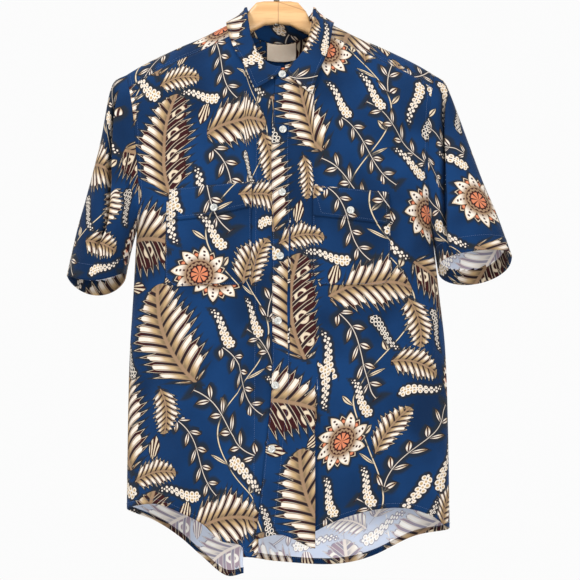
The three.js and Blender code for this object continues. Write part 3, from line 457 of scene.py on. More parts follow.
# %% Layout of the print
BOLT = np.array([480.0, 600.0])
FROND, DARK_FROND, FLOWER, BLOOM = 1, 2, 3, 4
LEAF, SPRIG = 1, 2
BERRIES, BUD, RINGS = 1, 2, 3
# The places of each kind's motifs: x, y, half length, turn in degrees
LARGE_MOTIFS = {
    DARK_FROND: [(384, 196, 86, -93), (417, 343, 80, 3), (294, 424, 76, -127), (198, 375, 70, -133)],
    FROND: [(447, 51, 82, 24), (368, 533, 78, 4), (65, 376, 66, -82)],
    FLOWER: [
        (320, 72, 56, -28), (313, 302, 52, 9), (258, 572, 54, -135), (177, 491, 50, 49),
        (37, 143, 48, 86),
    ],
    BLOOM: [(254, 171, 56, 7), (218, 264, 50, 157)],
}
MIDDLE_MOTIFS = {
    SPRIG: [
        (49, 270, 74, -144), (86, 582, 66, -135), (59, 521, 74, 55), (138, 15, 66, 53),
        (164, 141, 74, -18), (16, 469, 66, -142),
    ],
    LEAF: [
        (132, 260, 38, -103), (443, 540, 34, -175), (136, 323, 38, -169), (240, 57, 34, -20),
        (113, 163, 38, -25), (425, 448, 34, -81),
    ],
}
SMALL_MOTIFS = {
    BERRIES: [
        (474, 227, 42, -154), (148, 223, 36, -66), (100, 442, 42, -116), (105, 78, 36, 42),
        (219, 113, 42, 16), (46, 62, 36, 44), (179, 62, 42, 165), (55, 208, 36, 50), (477, 270, 42, 25),
        (465, 419, 36, 92), (362, 441, 42, 68), (154, 567, 36, 62),
    ],
    RINGS: [
        (204, 34, 34, -15), (258, 504, 34, 80), (85, 305, 34, -128), (274, 235, 34, 97),
        (171, 314, 34, -156), (377, 22, 34, 38),
    ],
    BUD: [
        (474, 391, 18, 166), (386, 129, 18, -101), (424, 487, 18, -14), (219, 440, 18, 4),
        (449, 144, 18, -52), (369, 269, 18, 177),
    ],
}
# How slim each kind is, as its width over its length, and how far its dark surround reaches
SLIM = {
    "large": {FROND: 0.8, DARK_FROND: 0.8, FLOWER: 1.0, BLOOM: 0.8},
    "middle": {LEAF: 0.7, SPRIG: 0.52},
    "small": {BERRIES: 0.5, BUD: 0.6, RINGS: 0.5},
}
LAYERS = {"large": LARGE_MOTIFS, "middle": MIDDLE_MOTIFS, "small": SMALL_MOTIFS}
REACH = 1.16


def motif_places(corners, layer):
    """For each face's four corners on the bolt: their place in the covering motif, and its kind."""
    centre = corners.mean(axis=1)
    best = np.full(len(corners), REACH)
    made = np.zeros((len(corners), 4, 3))
    rows = [(kind, *place) for kind, places in LAYERS[layer].items() for place in places]
    for kind, x, y, size, turn in rows:
        away = centre - (x, y)
        away -= BOLT * np.round(away / BOLT)
        c, s = math.cos(math.radians(turn)), math.sin(math.radians(turn))
        inside = np.array([[c, -s], [s, c]]) / size
        middle = away @ inside
        distance = np.hypot(middle[:, 0] / SLIM[layer][kind], middle[:, 1])
        nearer = distance < best
        best[nearer] = distance[nearer]
        local = (away[nearer, None] + corners[nearer] - centre[nearer, None]) @ inside
        made[nearer, :, :2] = local
        made[nearer, :, 2] = kind
    return made


print("motifs on one repeat:", {name: sum(map(len, kinds.values())) for name, kinds in LAYERS.items()})

# %% [markdown]
# ## Cloth with two faces
# Cotton has a printed face and a paler reverse. A shell has an outer grid, an inner grid a wall's
# thickness inside it, and a rim that closes them, so it is a true thin solid. The inner faces take
# the reverse, except where a hem turns the printed face inwards.

# %% Shell builder
WALL = 0.8
HEM_WALL = 1.6
grids = {}


def link_mesh(name, vertices, faces):
    mesh = bpy.data.meshes.new(name)
    mesh.from_pydata((np.asarray(vertices) * MM).tolist(), [], np.asarray(faces).tolist())
    return placed(name, mesh)


def is_inside_out(vertices, faces):
    """True where the volume inside a closed mesh comes out negative."""
    a, b, c, d = (vertices[faces[:, k]] for k in range(4))
    return np.sum(a * (np.cross(b, c) + np.cross(c, d))) < 0


def shell(name, outer, normals, wall, cloth, bolt_at, around=False, turned=None):
    """A closed thin shell: grids of points, directions, wall thickness and places on the cloth."""
    rows, cols = outer.shape[:2]
    inner = outer - normals * np.broadcast_to(wall, (rows, cols))[..., None]
    vertices = np.concatenate([outer.reshape(-1, 3), inner.reshape(-1, 3)])
    spans = cols if around else cols - 1

    def face(*corners):
        """Vertex numbers and cloth places of faces, from corners (row, column, layer)."""
        ids = [(r * cols + c % cols + layer * rows * cols) for r, c, layer in corners]
        uvs = [cloth[r, c] for r, c, _ in corners]
        return np.stack(ids, -1).reshape(-1, 4), np.stack(uvs, -2).reshape(-1, 4, 2)

    i, j = np.meshgrid(np.arange(rows - 1), np.arange(spans), indexing="ij")
    parts = [
        face((i, j, 0), (i + 1, j, 0), (i + 1, j + 1, 0), (i, j + 1, 0)),
        face((i, j, 1), (i, j + 1, 1), (i + 1, j + 1, 1), (i + 1, j, 1)),
    ]
    first, last, j = 0 * j[0], 0 * j[0] + rows - 1, j[0]
    parts.append(face((first, j, 0), (first, j + 1, 0), (first, j + 1, 1), (first, j, 1)))
    parts.append(face((last, j + 1, 0), (last, j, 0), (last, j, 1), (last, j + 1, 1)))
    if not around:
        i = i[:, 0]
        start, end = 0 * i, 0 * i + cols - 1
        parts.append(face((i, start, 0), (i, start, 1), (i + 1, start, 1), (i + 1, start, 0)))
        parts.append(face((i, end, 0), (i + 1, end, 0), (i + 1, end, 1), (i, end, 1)))
    faces = np.concatenate([p[0] for p in parts])
    uvs = np.concatenate([p[1] for p in parts])
    if is_inside_out(vertices, faces):
        faces, uvs = faces[:, ::-1], uvs[:, ::-1]
    piece = link_mesh(name, vertices, faces)
    mesh = piece.data
    material = np.zeros(len(faces), int)
    reverse = np.ones((rows - 1, spans), bool) if turned is None else ~turned
    count = reverse.size
    material[count : 2 * count] = reverse.reshape(-1)
    mesh.polygons.foreach_set("material_index", material)
    mesh.polygons.foreach_set("use_smooth", np.arange(len(faces)) < 2 * count)
    mesh.uv_layers.new(name="cloth").data.foreach_set("uv", (uvs * MM).ravel())
    on_bolt = uvs + np.asarray(bolt_at, float)
    mesh.uv_layers.new(name="bolt").data.foreach_set("uv", (on_bolt * MM).ravel())
    for layer in LAYERS:
        places = mesh.attributes.new(layer, "FLOAT_VECTOR", "CORNER")
        places.data.foreach_set("vector", motif_places(on_bolt, layer).ravel())
    piece["cloth_area"] = outer_area(outer, around)
    grids[name] = outer
    print(name, "faces:", len(faces), "area m2:", round(piece["cloth_area"], 4))
    return piece


def outer_area(outer, around):
    """Area in square metres of a grid's outer surface."""
    grid = np.concatenate([outer, outer[:, :1]], axis=1) if around else outer
    a, b, c, d = grid[:-1, :-1], grid[1:, :-1], grid[1:, 1:], grid[:-1, 1:]
    halves = np.linalg.norm(np.cross(b - a, c - a), axis=-1)
    halves = halves + np.linalg.norm(np.cross(c - a, d - a), axis=-1)
    return float(halves.sum()) / 2 * MM * MM


# %% [markdown]
# ## The two fronts
# The left front laps over the right one and carries the buttons. Its free edge swings to the wearer's
# right towards the hem. Rows run from the neck to the curved hem, about 4 mm apart, and the last 7 mm
# are doubled, because the hem is turned up.

# %% Fronts
HEM_RIGHT = through(
    [(-212, -857), (-175, -856), (-143, -868), (-106, -887)]
    + [(-80, -911), (-49, -919), (-44, -933), (-25, -935)]
)
HEM_LEFT = through(
    [(-29, -910), (6, -903), (35, -914), (57, -923), (82, -914), (107, -900)]
    + [(145, -881), (195, -866), (240, -863), (281, -873), (303, -886)]
)
HEM_END = {-1: -857.0, 1: -886.0}
FREE_EDGE_END = -905
FRONT_BOLT = {-1: (150, 60), 1: (388, 310)}
FOLD_COLUMN = 26
ROWS_UP, ROWS_DOWN = 58, 118
TOP_EDGE_PAST, UNDER_EDGE_PAST = 7, 17
OVERLAP_LIFT, LAP_CLEAR, LAP_EASE = 2.5, 4, 45
HEM_ROWS = 2
FRONT_CREASE_FADE = 60


def rows_of_height(corner_z, end_z):
    return np.concatenate(
        [np.linspace(corner_z, ARMPIT_Z, ROWS_UP), np.linspace(ARMPIT_Z, end_z, ROWS_DOWN)[1:]]
    )


def front_top(side):
    """x and q along a front's top edge: neck edge, neck seam, then the yoke's seam."""
    past = TOP_EDGE_PAST if side > 0 else UNDER_EDGE_PAST
    corner = float(armhole_x(front_corner_z(side), side))
    join_x = float(neck_place(JOIN_ANGLE, side, -1)[0])
    edge_x = NECK_X - side * past
    neck_x, neck_q = neck_place(np.linspace(86, JOIN_ANGLE, 30), side, -1)
    lead = np.linspace(0, 1, 6)[:-1]
    seam = towards_side(52)[1:]
    x = np.concatenate([mix(edge_x, neck_x[0], lead), neck_x, mix(join_x, corner, seam)])
    q = np.concatenate([mix(NECK_FRONT_Q, neck_q[0], lead), neck_q, 0 * seam + YOKE_FRONT_Q])
    return x, q


def front_plan(side):
    """The front's rows and columns, laid out along the cloth."""
    hem = HEM_LEFT if side > 0 else HEM_RIGHT
    free_x = left_edge_x if side > 0 else right_edge_x
    corner_z = front_corner_z(side)
    end_z = HEM_END[side]
    z = rows_of_height(corner_z, end_z)
    hidden = fold_hidden(FRONT_FOLD, z) if side > 0 else 0
    outer = np.stack([armhole_x(z, side) + hidden, z], -1)
    x, q = front_top(side)
    top = np.stack([x, ridge_at(x) - drop_of(q)], -1)
    edge_end = float(hem(free_x(FREE_EDGE_END)))
    inner_z = mix(top[0, 1], edge_end, (z - corner_z) / (end_z - corner_z))
    inner = np.stack([free_x(inner_z), inner_z], -1)
    inner[0] = top[0]
    ends = inner[-1, 0], outer[-1, 0]
    if side > 0:
        spread, bottom_x = hem_columns(x, FRONT_FOLD, FOLD_COLUMN, *ends)
    else:
        bottom_x = mix(*ends, (x - x[0]) / (x[-1] - x[0]))
    bottom = np.stack([bottom_x, hem(bottom_x)], -1)
    bottom[0, 1] = inner[-1, 1]
    bottom[-1, 1] = end_z
    grid = blended(top, bottom, inner, outer)
    if side > 0:
        line_up(grid, FRONT_FOLD, FOLD_COLUMN, spread)
    return grid


def lap_lift(x, z):
    """How far the left front stands off where it laps over the right one."""
    return OVERLAP_LIFT * (1 - ease((x - right_edge_x(z) - LAP_CLEAR) / LAP_EASE))


def on_front(along, z, side):
    """A place on a front by its place on the cloth, creases included."""
    along, z = np.broadcast_arrays(np.asarray(along, float), np.asarray(z, float))
    x, lift = folded(along, z, FRONT_FOLD) if side > 0 else (along, 0 * along)
    if side > 0:
        lift = lift + lap_lift(x, z)
    point, normal = body(x, z, -1)
    room = ease((armhole_x(z, side) - x) * side / CREASE_ROOM)
    room = room * ease((CREASE_TOP_Z - z) / FRONT_CREASE_FADE)
    lift = lift + room * crease_height(along, z, FRONT_CREASES[side])
    return point + normal * lift[..., None], normal


def close_side(outer, normals, column, face):
    """Lets a side seam's two edges meet: they lie on the middle plane and face along the body."""
    below = outer[:, column, 2] <= ARMPIT_Z + 0.01
    outer[below, column, 1] = face * SEAM / 2
    normals[:, column] = body(outer[:, column, 0], outer[:, column, 2], face)[1]


def hem_walls(grid):
    """Wall thickness over a panel: doubled in the last rows, where the hem is turned up."""
    wall = np.full(grid.shape[:2], WALL)
    wall[-HEM_ROWS - 1 :] = HEM_WALL
    return wall


def turned_rows(grid, count):
    """Marks the last rows of faces, where the inside shows the print too."""
    rows, cols = grid.shape[:2]
    turned = np.zeros((rows - 1, cols - 1), bool)
    turned[-count:] = True
    return turned


def make_front(name, side):
    plan = front_plan(side)
    outer, facing = on_front(plan[..., 0], plan[..., 1], side)
    normals = grid_normals(outer, 1)
    normals *= np.sign(np.sum(normals * facing))
    close_side(outer, normals, -1, -1)
    across = plan[:, :1, 0] + side * lengths_along(outer, 1)
    cloth = np.stack([across, plan[..., 1]], -1)
    turned = turned_rows(outer, HEM_ROWS)
    return shell(name, outer, normals, hem_walls(outer), cloth, FRONT_BOLT[side], turned=turned)


front_right = make_front("shirt_front_right", -1)
front_left = make_front("shirt_front_left", 1)

# %% [markdown]
# ## The back
# The back is one piece below the yoke. It hangs longer than the fronts and shows its pale reverse
# there, with the turned hem's printed band along its edge.

# %% Back
HEM_BACK = through(
    [(-222, -857), (-178, -872), (-142, -895), (-110, -923), (-75, -951), (-50, -948), (-32, -938)]
    + [(-12, -924), (40, -929), (110, -934), (151, -931), (189, -920), (242, -893), (294, -886)]
)
BACK_HALF_COLUMNS = (46, 70)
BACK_FOLD_SPREAD = (-10, 14)
BACK_BOLT = (90, 120)
BACK_CREASE_FADE = 40


def back_plan():
    edges = []
    for side, end_z in HEM_END.items():
        z = rows_of_height(back_corner_z(side) - SEAM, end_z)
        hidden = fold_hidden(BACK_FOLD, z) if side > 0 else 0
        edges.append(np.stack([armhole_x(z, side) + hidden, z], -1))
    inner, outer = edges
    fold_from, fold_to = (BACK_FOLD["edge"] + off for off in BACK_FOLD_SPREAD)
    first = BACK_HALF_COLUMNS[0]
    left = mix(fold_from, inner[0, 0], towards_side(first + 1)[1:])[::-1]
    right = mix(fold_to, outer[0, 0], towards_side(BACK_HALF_COLUMNS[1] + 1)[1:])
    turns = np.linspace(fold_from, fold_to, FOLD_COLUMNS)
    x = np.concatenate([left, turns, right])
    top = np.stack([x, yoke_back_z(x) - SEAM], -1)
    top[0, 1], top[-1, 1] = inner[0, 1], outer[0, 1]
    spread, bottom_x = hem_columns(x, BACK_FOLD, first, inner[-1, 0], outer[-1, 0])
    bottom = np.stack([bottom_x, HEM_BACK(bottom_x)], -1)
    bottom[0, 1], bottom[-1, 1] = inner[-1, 1], outer[-1, 1]
    grid = blended(top, bottom, inner, outer)
    line_up(grid, BACK_FOLD, first, spread)
    return grid


def on_back(along, z):
    x, lift = folded(along, z, BACK_FOLD)
    point, normal = body(x, z, 1)
    side = np.where(x > centre_x(z), 1, -1)
    room = ease((armhole_x(z, side) - x) * side / CREASE_ROOM)
    room = room * ease((yoke_back_z(x) - z) / BACK_CREASE_FADE)
    lift = lift + room * crease_height(along, z, BACK_CREASES)
    return point + normal * lift[..., None], normal


def make_back():
    plan = back_plan()
    outer, facing = on_back(plan[..., 0], plan[..., 1])
    normals = grid_normals(outer, 1)
    normals *= np.sign(np.sum(normals * facing))
    close_side(outer, normals, 0, 1)
    close_side(outer, normals, -1, 1)
    middle = BACK_HALF_COLUMNS[0]
    reach = lengths_along(outer, 1)
    across = reach[:, middle : middle + 1] - reach - plan[:, middle : middle + 1, 0]
    cloth = np.stack([across, plan[..., 1]], -1)
    walls, turned = hem_walls(outer), turned_rows(outer, HEM_ROWS)
    return shell("shirt_back", outer, normals, walls, cloth, BACK_BOLT, turned=turned)


back = make_back()

# %% [markdown]
# ## The yoke
# The yoke is the doubled piece over the shoulders, so its inside shows the printed face as well. Its
# columns start on the front seams and round the neck, cross the ridge, and end on the back seam.

# %% Yoke
YOKE_ROWS = np.array([0, 0.11, 0.2, 0.28, 0.34, 0.4, 0.48, 0.6, 0.74, 0.87, 1])
YOKE_FINE_ROWS = np.interp(np.linspace(0, 10, 61), np.arange(11), YOKE_ROWS)
YOKE_END_OUTER, YOKE_END_JOIN = 222, 108
YOKE_NECK = [(-13.2, 100), (-6.6, 92), (0, 84), (11, 77), (22, 68), (44, 50), (66, 26), (90, 0)]
yoke_end = through([(-JOIN_ANGLE, YOKE_END_JOIN), *YOKE_NECK])


def yoke_columns(side):
    """Start (x, q) and end (x, q) of the yoke's columns, from the armhole to the middle of the back."""
    corner = float(armhole_x(front_corner_z(side), side))
    share = towards_side(46)[::-1]
    join_x = float(neck_place(JOIN_ANGLE, side, -1)[0])
    angle = np.linspace(-JOIN_ANGLE, 90, 56)[1:]
    neck_x, neck_q = neck_place(np.abs(angle), side, np.where(angle < 0, -1, 1))
    x = np.concatenate([mix(join_x, corner, share), neck_x])
    q = np.concatenate([0 * share + YOKE_FRONT_Q + SEAM, neck_q])
    end = np.concatenate([mix(YOKE_END_JOIN, YOKE_END_OUTER, share), yoke_end(angle)])
    end_x = NECK_X + side * end
    end_x[0] = armhole_x(back_corner_z(side), side)
    drop = ridge_at(end_x) - yoke_back_z(end_x) + RIDGE_RADIUS
    return np.stack([x, q, end_x, np.sqrt(drop**2 - RIDGE_RADIUS**2)], -1)


def yoke_edge_x(x, q, side):
    for _ in range(12):
        x = armhole_x(ridge_at(x) - drop_of(q), side)
    return x


def yoke_grid():
    columns = np.concatenate([yoke_columns(-1), yoke_columns(1)[:-1][::-1]])
    t = YOKE_FINE_ROWS[:, None]
    x = mix(columns[:, 0], columns[:, 2], t)
    q = mix(columns[:, 1], columns[:, 3], t)
    x[:, 0] = yoke_edge_x(x[:, 0], q[:, 0], -1)
    x[:, -1] = yoke_edge_x(x[:, -1], q[:, -1], 1)
    return x, q


def make_yoke():
    x, q = yoke_grid()
    outer, normals = over_ridge(x, q)
    cloth = np.stack([x, -q], -1)
    lined = turned_rows(outer, len(outer))
    return shell("shirt_yoke", outer, normals, WALL, cloth, (260, 470), turned=lined)


yoke = make_yoke()

# %% [markdown]
# ## The sleeves
# A set-in sleeve starts on the armhole's loop and turns into a flattened tube. The ring at the armhole
# is the true loop, and it gives way to the tube's own section further down. Where a sleeve drops over
# the end of the hanger, it folds: a narrow trough runs down it, and the trough's rim laps over it and
# keeps the light out. The cuff is turned up 25 mm to the inside.

# %% Sleeves
SLEEVES = {
    -1: {
        "top": [
            (0, -229, -194, 31), (0.08, -247, -204, 32), (0.16, -255, -226, 35), (0.38, -267, -300, 43),
            (0.64, -287, -388, 50), (0.78, -299, -435, 53), (1, -314, -508, 56),
        ],
        "under": [(0, -210, -433), (0.5, -219, -470), (1, -226, -505)],
        "lift": 0,
        "sag": 19,
        "crease": [(-200, -241), (-300, -244), (-430, -247), (-480, -266), (-530, -279)],
    },
    1: {
        "top": [
            (0, 243, -194, 31), (0.08, 258, -205, 32), (0.16, 268, -230, 35), (0.38, 293, -306, 43),
            (0.64, 315, -372, 50), (0.78, 332, -415, 53), (1, 354, -482, 56),
        ],
        "under": [(0, 235, -433), (0.5, 239, -466), (1, 243, -495)],
        "lift": 14,
        "sag": 6,
        "crease": [(-200, 256), (-300, 258), (-430, 257), (-480, 261), (-530, 265)],
    },
}
CREASE_DEPTH, CREASE_SHARP, CREASE_SOFT = 19, 2.6, 8
CREASE_END, CREASE_FADE = -470, 40
CREASE_FORWARD, CREASE_FORWARD_EASE = 12, 20
CREASE_START, CREASE_START_EASE = 0.03, 0.08
RIM_OVER, RIM_PAST, RIM_WIDTH = 7.5, 4.6, 4.2
SLEEVE_ROUND = 0.8
CUFF_BAND = 25
SLEEVE_ROWS = np.concatenate([np.linspace(0, 0.12, 14), np.linspace(0.12, 1, 62)[1:]])
# Soft creases over a sleeve: share down it, turn round it in degrees, lengths and height
SLEEVE_CREASES = {
    -1: [
        (0.30, 62, 0.22, 9, 1.8), (0.44, 104, 0.25, 11, -2.0), (0.62, 128, 0.2, 10, 1.7),
        (0.72, 48, 0.2, 12, -1.8), (0.86, 86, 0.12, 9, 1.5), (0.4, 236, 0.3, 12, 2.2),
        (0.6, 282, 0.24, 11, -2.2), (0.8, 254, 0.2, 13, 1.9), (0.3, 316, 0.2, 10, -1.6),
    ],
    1: [
        (0.28, 70, 0.2, 10, -1.8), (0.42, 118, 0.24, 11, 2.0), (0.58, 82, 0.24, 10, -1.7),
        (0.76, 52, 0.18, 12, 1.8), (0.84, 126, 0.14, 9, -1.6), (0.38, 246, 0.28, 12, -2.2),
        (0.62, 292, 0.22, 11, 2.1), (0.78, 232, 0.2, 12, -1.8), (0.34, 324, 0.2, 10, 1.6),
    ],
}
FRONT_LOOP_ROWS = np.array([0, 0.07, 0.18, 0.32, 0.47, 0.62, 0.76, 0.89, 1])
BACK_LOOP_ROWS = np.array([0, 0.16, 0.34, 0.52, 0.7, 0.86, 1])
LOOP_CORNER, LOOP_TOP, LOOP_BACK, LOOP_END = 8, 12, 18, 24
LOOP_PARTS = [(0, LOOP_CORNER, 0.08), (LOOP_CORNER, LOOP_BACK, 0.125), (LOOP_BACK, LOOP_END, 0.12)]


def armhole_loop(side):
    """The armhole from the armpit up the front, over the yoke and down the back."""
    step = np.concatenate([np.arange(*part) for part in LOOP_PARTS])
    rising = 1 - np.interp(step, np.arange(len(FRONT_LOOP_ROWS)), 1 - FRONT_LOOP_ROWS[::-1])
    front_z = mix(front_corner_z(side), ARMPIT_Z, rising)
    front = body(armhole_x(front_z, side), front_z, -1)
    over_t = np.interp(step, LOOP_CORNER + np.arange(len(YOKE_ROWS)), YOKE_ROWS)
    edge = yoke_columns(side)[0]
    q = mix(edge[1], edge[3], over_t)
    over = over_ridge(yoke_edge_x(mix(edge[0], edge[2], over_t), q, side), q)
    falling = np.interp(step, LOOP_BACK + np.arange(len(BACK_LOOP_ROWS)), BACK_LOOP_ROWS)
    back_z = mix(back_corner_z(side), ARMPIT_Z, falling)
    behind = body(armhole_x(back_z, side), back_z, 1)
    which = np.where(step < LOOP_CORNER, 0, np.where(step < LOOP_BACK, 1, 2))[:, None]
    points, normals = (np.choose(which, [front[k], over[k], behind[k]]) for k in (0, 1))
    up = np.pi * step / LOOP_TOP
    down = np.pi + np.pi * (step - LOOP_TOP) / (LOOP_END - LOOP_TOP)
    return points, normals, np.where(step <= LOOP_TOP, up, down)


def sleeve_ring(plan, f, angle):
    """A sleeve's flattened section at share f of its length."""
    top_x, top_z, depth = (through([(row[0], row[k]) for row in plan["top"]]) for k in (1, 2, 3))
    under_x, under_z = (through([(row[0], row[k]) for row in plan["under"]]) for k in (1, 2))
    across = (1 - np.cos(angle)) / 2
    deep = -np.sign(np.sin(angle)) * np.abs(np.sin(angle)) ** SLEEVE_ROUND
    z = mix(under_z(f), top_z(f), across)
    z = z - (plan["lift"] * deep + plan["sag"] * deep * deep) * f * f
    x, y, z = np.broadcast_arrays(mix(under_x(f), top_x(f), across), depth(f) * deep, z)
    return np.stack([x, y, z], -1)


def sleeve_creases(f, angle, side):
    """Height of the soft creases over a sleeve."""
    total = 0 * (f + angle)
    for at, turn, reach, width, height in SLEEVE_CREASES[side]:
        lean = np.radians(turn + 40 * (f - at) * side)
        off = np.degrees(np.angle(np.exp(1j * (angle - lean))))
        total = total + height * np.exp(-(((f - at) / reach) ** 2)) * np.exp(-((off / width) ** 2))
    return total


def fold_over(outer, f, crease):
    """Presses the long trough into a sleeve and laps its rim over it."""
    past = outer[..., 0] - through(crease)(outer[..., 2])
    off = past / np.where(past > 0, CREASE_SHARP, CREASE_SOFT)
    fade = ease((outer[..., 2] - CREASE_END + CREASE_FADE) / (2 * CREASE_FADE))
    fade = fade * ease((-outer[..., 1] - CREASE_FORWARD) / CREASE_FORWARD_EASE)
    fade = fade * ease((f - CREASE_START) / CREASE_START_EASE)
    outer[..., 1] += CREASE_DEPTH * fade * np.exp(-(off**2))
    outer[..., 0] -= RIM_OVER * fade * np.exp(-(((past - RIM_PAST) / RIM_WIDTH) ** 2))


def sleeve_grid(side):
    plan = SLEEVES[side]
    points, normals, angle = armhole_loop(side)
    f = SLEEVE_ROWS[:, None]
    outer = sleeve_ring(plan, f, angle)
    start = sleeve_ring(plan, np.zeros((1, 1)), angle)
    gap = np.array([side * SEAM, 0, 0])
    outer = outer + (points + gap - start) * ((1 - f) ** 3)[..., None]
    fold_over(outer, f, plan["crease"])
    facing = grid_normals(outer, 1, around=True)
    middle = outer.mean(axis=1, keepdims=True)
    facing = facing * np.sign(np.sum(facing * (outer - middle)))
    soft = sleeve_creases(f, angle, side) * ease(f / 0.15) * ease((1 - f) / 0.06 + 0.35)
    outer = outer + facing * soft[..., None]
    facing[0] = normals
    return outer, facing


def make_sleeve(name, side, bolt_at):
    outer, normals = sleeve_grid(side)
    closed = np.concatenate([outer, outer[:, :1]], axis=1)
    round_at = lengths_along(closed, 1)
    round_at = round_at[len(outer) // 2 :].mean(axis=0) + 0 * round_at
    down_at = lengths_along(closed, 0)
    left = down_at[-1] - down_at
    cloth = np.stack([side * round_at, left], -1)
    turned = left[:-1, :-1] < CUFF_BAND
    wall = np.where(left[:, :-1] < CUFF_BAND, HEM_WALL, WALL)
    piece = shell(name, outer, normals, wall, cloth, bolt_at, around=True, turned=turned)
    print(name, "round the armhole mm:", round(float(lengths_along(closed, 1)[0, -1])))
    return piece


sleeve_right = make_sleeve("shirt_sleeve_right", -1, (220, 205))
sleeve_left = make_sleeve("shirt_sleeve_left", 1, (40, 410))

# %% [markdown]
# ## The collar
# The stand is a band that rises from the neck seam and leans inwards. The leaf rolls over its top edge
# and falls outside it, down to two points on the chest. A quadratic curve from the roll to the outer
# edge gives the leaf its spring, and both are stiffened, so their walls are thicker.

# %% Collar stand
COLLAR_WALL = 1.6
STAND_SIZES = {"front": (18, 5), "side": (17, 9), "back": (28, 6)}
STAND_LAP = 3.4
STAND_LAP_FROM, STAND_LAP_EASE = 62, 24
FOOT_INSET = 0.6
NECK_DEPTH_MID = 48
STAND_END_LEFT, STAND_END_RIGHT = 96.5, 105.9


def stand_size(angle, face, key):
    end = np.where(face < 0, STAND_SIZES["front"][key], STAND_SIZES["back"][key])
    return mix(STAND_SIZES["side"][key], end, ease(np.minimum(angle, 90) / 90))


def stand_at(angle, side, face):
    """Foot and top of the stand round the neck, and the level way out from the neck."""
    x, q = neck_place(angle, side, face)
    foot = over_ridge(x, q)[0]
    turn = np.radians(angle)
    out = unit(
        np.stack([side * np.cos(turn) / NECK_HALF, face * np.sin(turn) / NECK_DEPTH_MID, 0 * turn], -1)
    )
    risen = ease((angle - STAND_LAP_FROM) / STAND_LAP_EASE)
    lap = np.where((side > 0) & (face < 0), STAND_LAP * risen, 0)
    foot = foot + out * (lap - FOOT_INSET)[..., None]
    foot[..., 2] += SEAM
    top = foot - out * stand_size(angle, face, 1)[..., None]
    top[..., 2] += stand_size(angle, face, 0)
    return foot, top, out


def neck_round(front_left_end, front_right_end, step=2.2):
    """Angles, sides and faces round the neck, from the wearer's left front end to the right one."""
    a = np.arange(front_left_end, 0, -step)
    b = np.arange(0, 90, step)
    c = np.arange(90, 0, -step)
    d = np.append(np.arange(0, front_right_end, step), front_right_end)
    angle = np.concatenate([a, b, c, d])
    side = np.concatenate([0 * a + 1, 0 * b + 1, 0 * c - 1, 0 * d - 1])
    face = np.concatenate([0 * a - 1, 0 * b + 1, 0 * c + 1, 0 * d - 1])
    return angle, side, face


def make_stand():
    foot, top, out = stand_at(*neck_round(STAND_END_LEFT, STAND_END_RIGHT))
    share = np.linspace(0, 1, 9)[:, None, None]
    outer = mix(foot, top, share)
    normals = np.broadcast_to(out, outer.shape)
    round_at = lengths_along(outer, 1)
    cloth = np.stack([round_at, lengths_along(outer, 0)], -1)
    turned = turned_rows(outer, len(outer))
    return shell("shirt_collar_stand", outer, normals, COLLAR_WALL, cloth, (300, 20), turned=turned)


stand = make_stand()

# %% Collar leaf
LEAF_ROLL, LEAF_ABOVE, LEAF_TURN, LEAF_CAP = 6, 6, 3.9, 2.9
LEAF_SPRING = 0.25
CROWN_OUT, CROWN_DROP = 0.35, 0.3
CAP_ROUND, ROLL_ROUND = 0.25, 0.5
LEAF_LAP_FROM, LEAF_LAP_EASE = 66, 18
# Each point of the leaf's edge: degrees round the neck, x and z
LEAF_LEFT = [(83, 54, -242), (76, 58, -226), (60, 65, -204), (42, 74, -180), (22, 81, -152), (10, 84, -128)]
LEAF_RIGHT = [
    (91, -32, -233), (76, -38, -220), (60, -46, -199), (42, -60, -174), (22, -69, -150), (10, -74, -127),
]
LEAF_SIDE = 80
LEAF_BACK = [(25, 75, -122), (48, 58, -138), (70, 31, -149), (90, 0, -153)]
LEAF_WAY = {"left": 83, "right": 91}


def on_body(x, z, face, lift):
    point, normal = body(x, z, face)
    return point + normal * lift


def leaf_edge_curves():
    """The leaf's outer edge as three curves by the way round the neck."""
    left, right = LEAF_WAY["left"], LEAF_WAY["right"]
    rows = [(left - a, on_body(x, z, -1, LEAF_ABOVE)) for a, x, z in LEAF_LEFT]
    for side, base in ((1, left), (-1, left + 180)):
        point, normal = over_ridge(NECK_X + side * LEAF_SIDE, 0.0)
        rows.append((base, point + normal * LEAF_ABOVE))
    for a, half, z in LEAF_BACK:
        rows.append((left + a, on_body(NECK_X + half, z, 1, LEAF_ABOVE)))
        if half:
            rows.append((left + 180 - a, on_body(NECK_X - half, z, 1, LEAF_ABOVE)))
    rows += [(left + 180 + a, on_body(x, z, -1, LEAF_ABOVE)) for a, x, z in LEAF_RIGHT]
    return [through([(way, float(point[k])) for way, point in rows]) for k in range(3)]


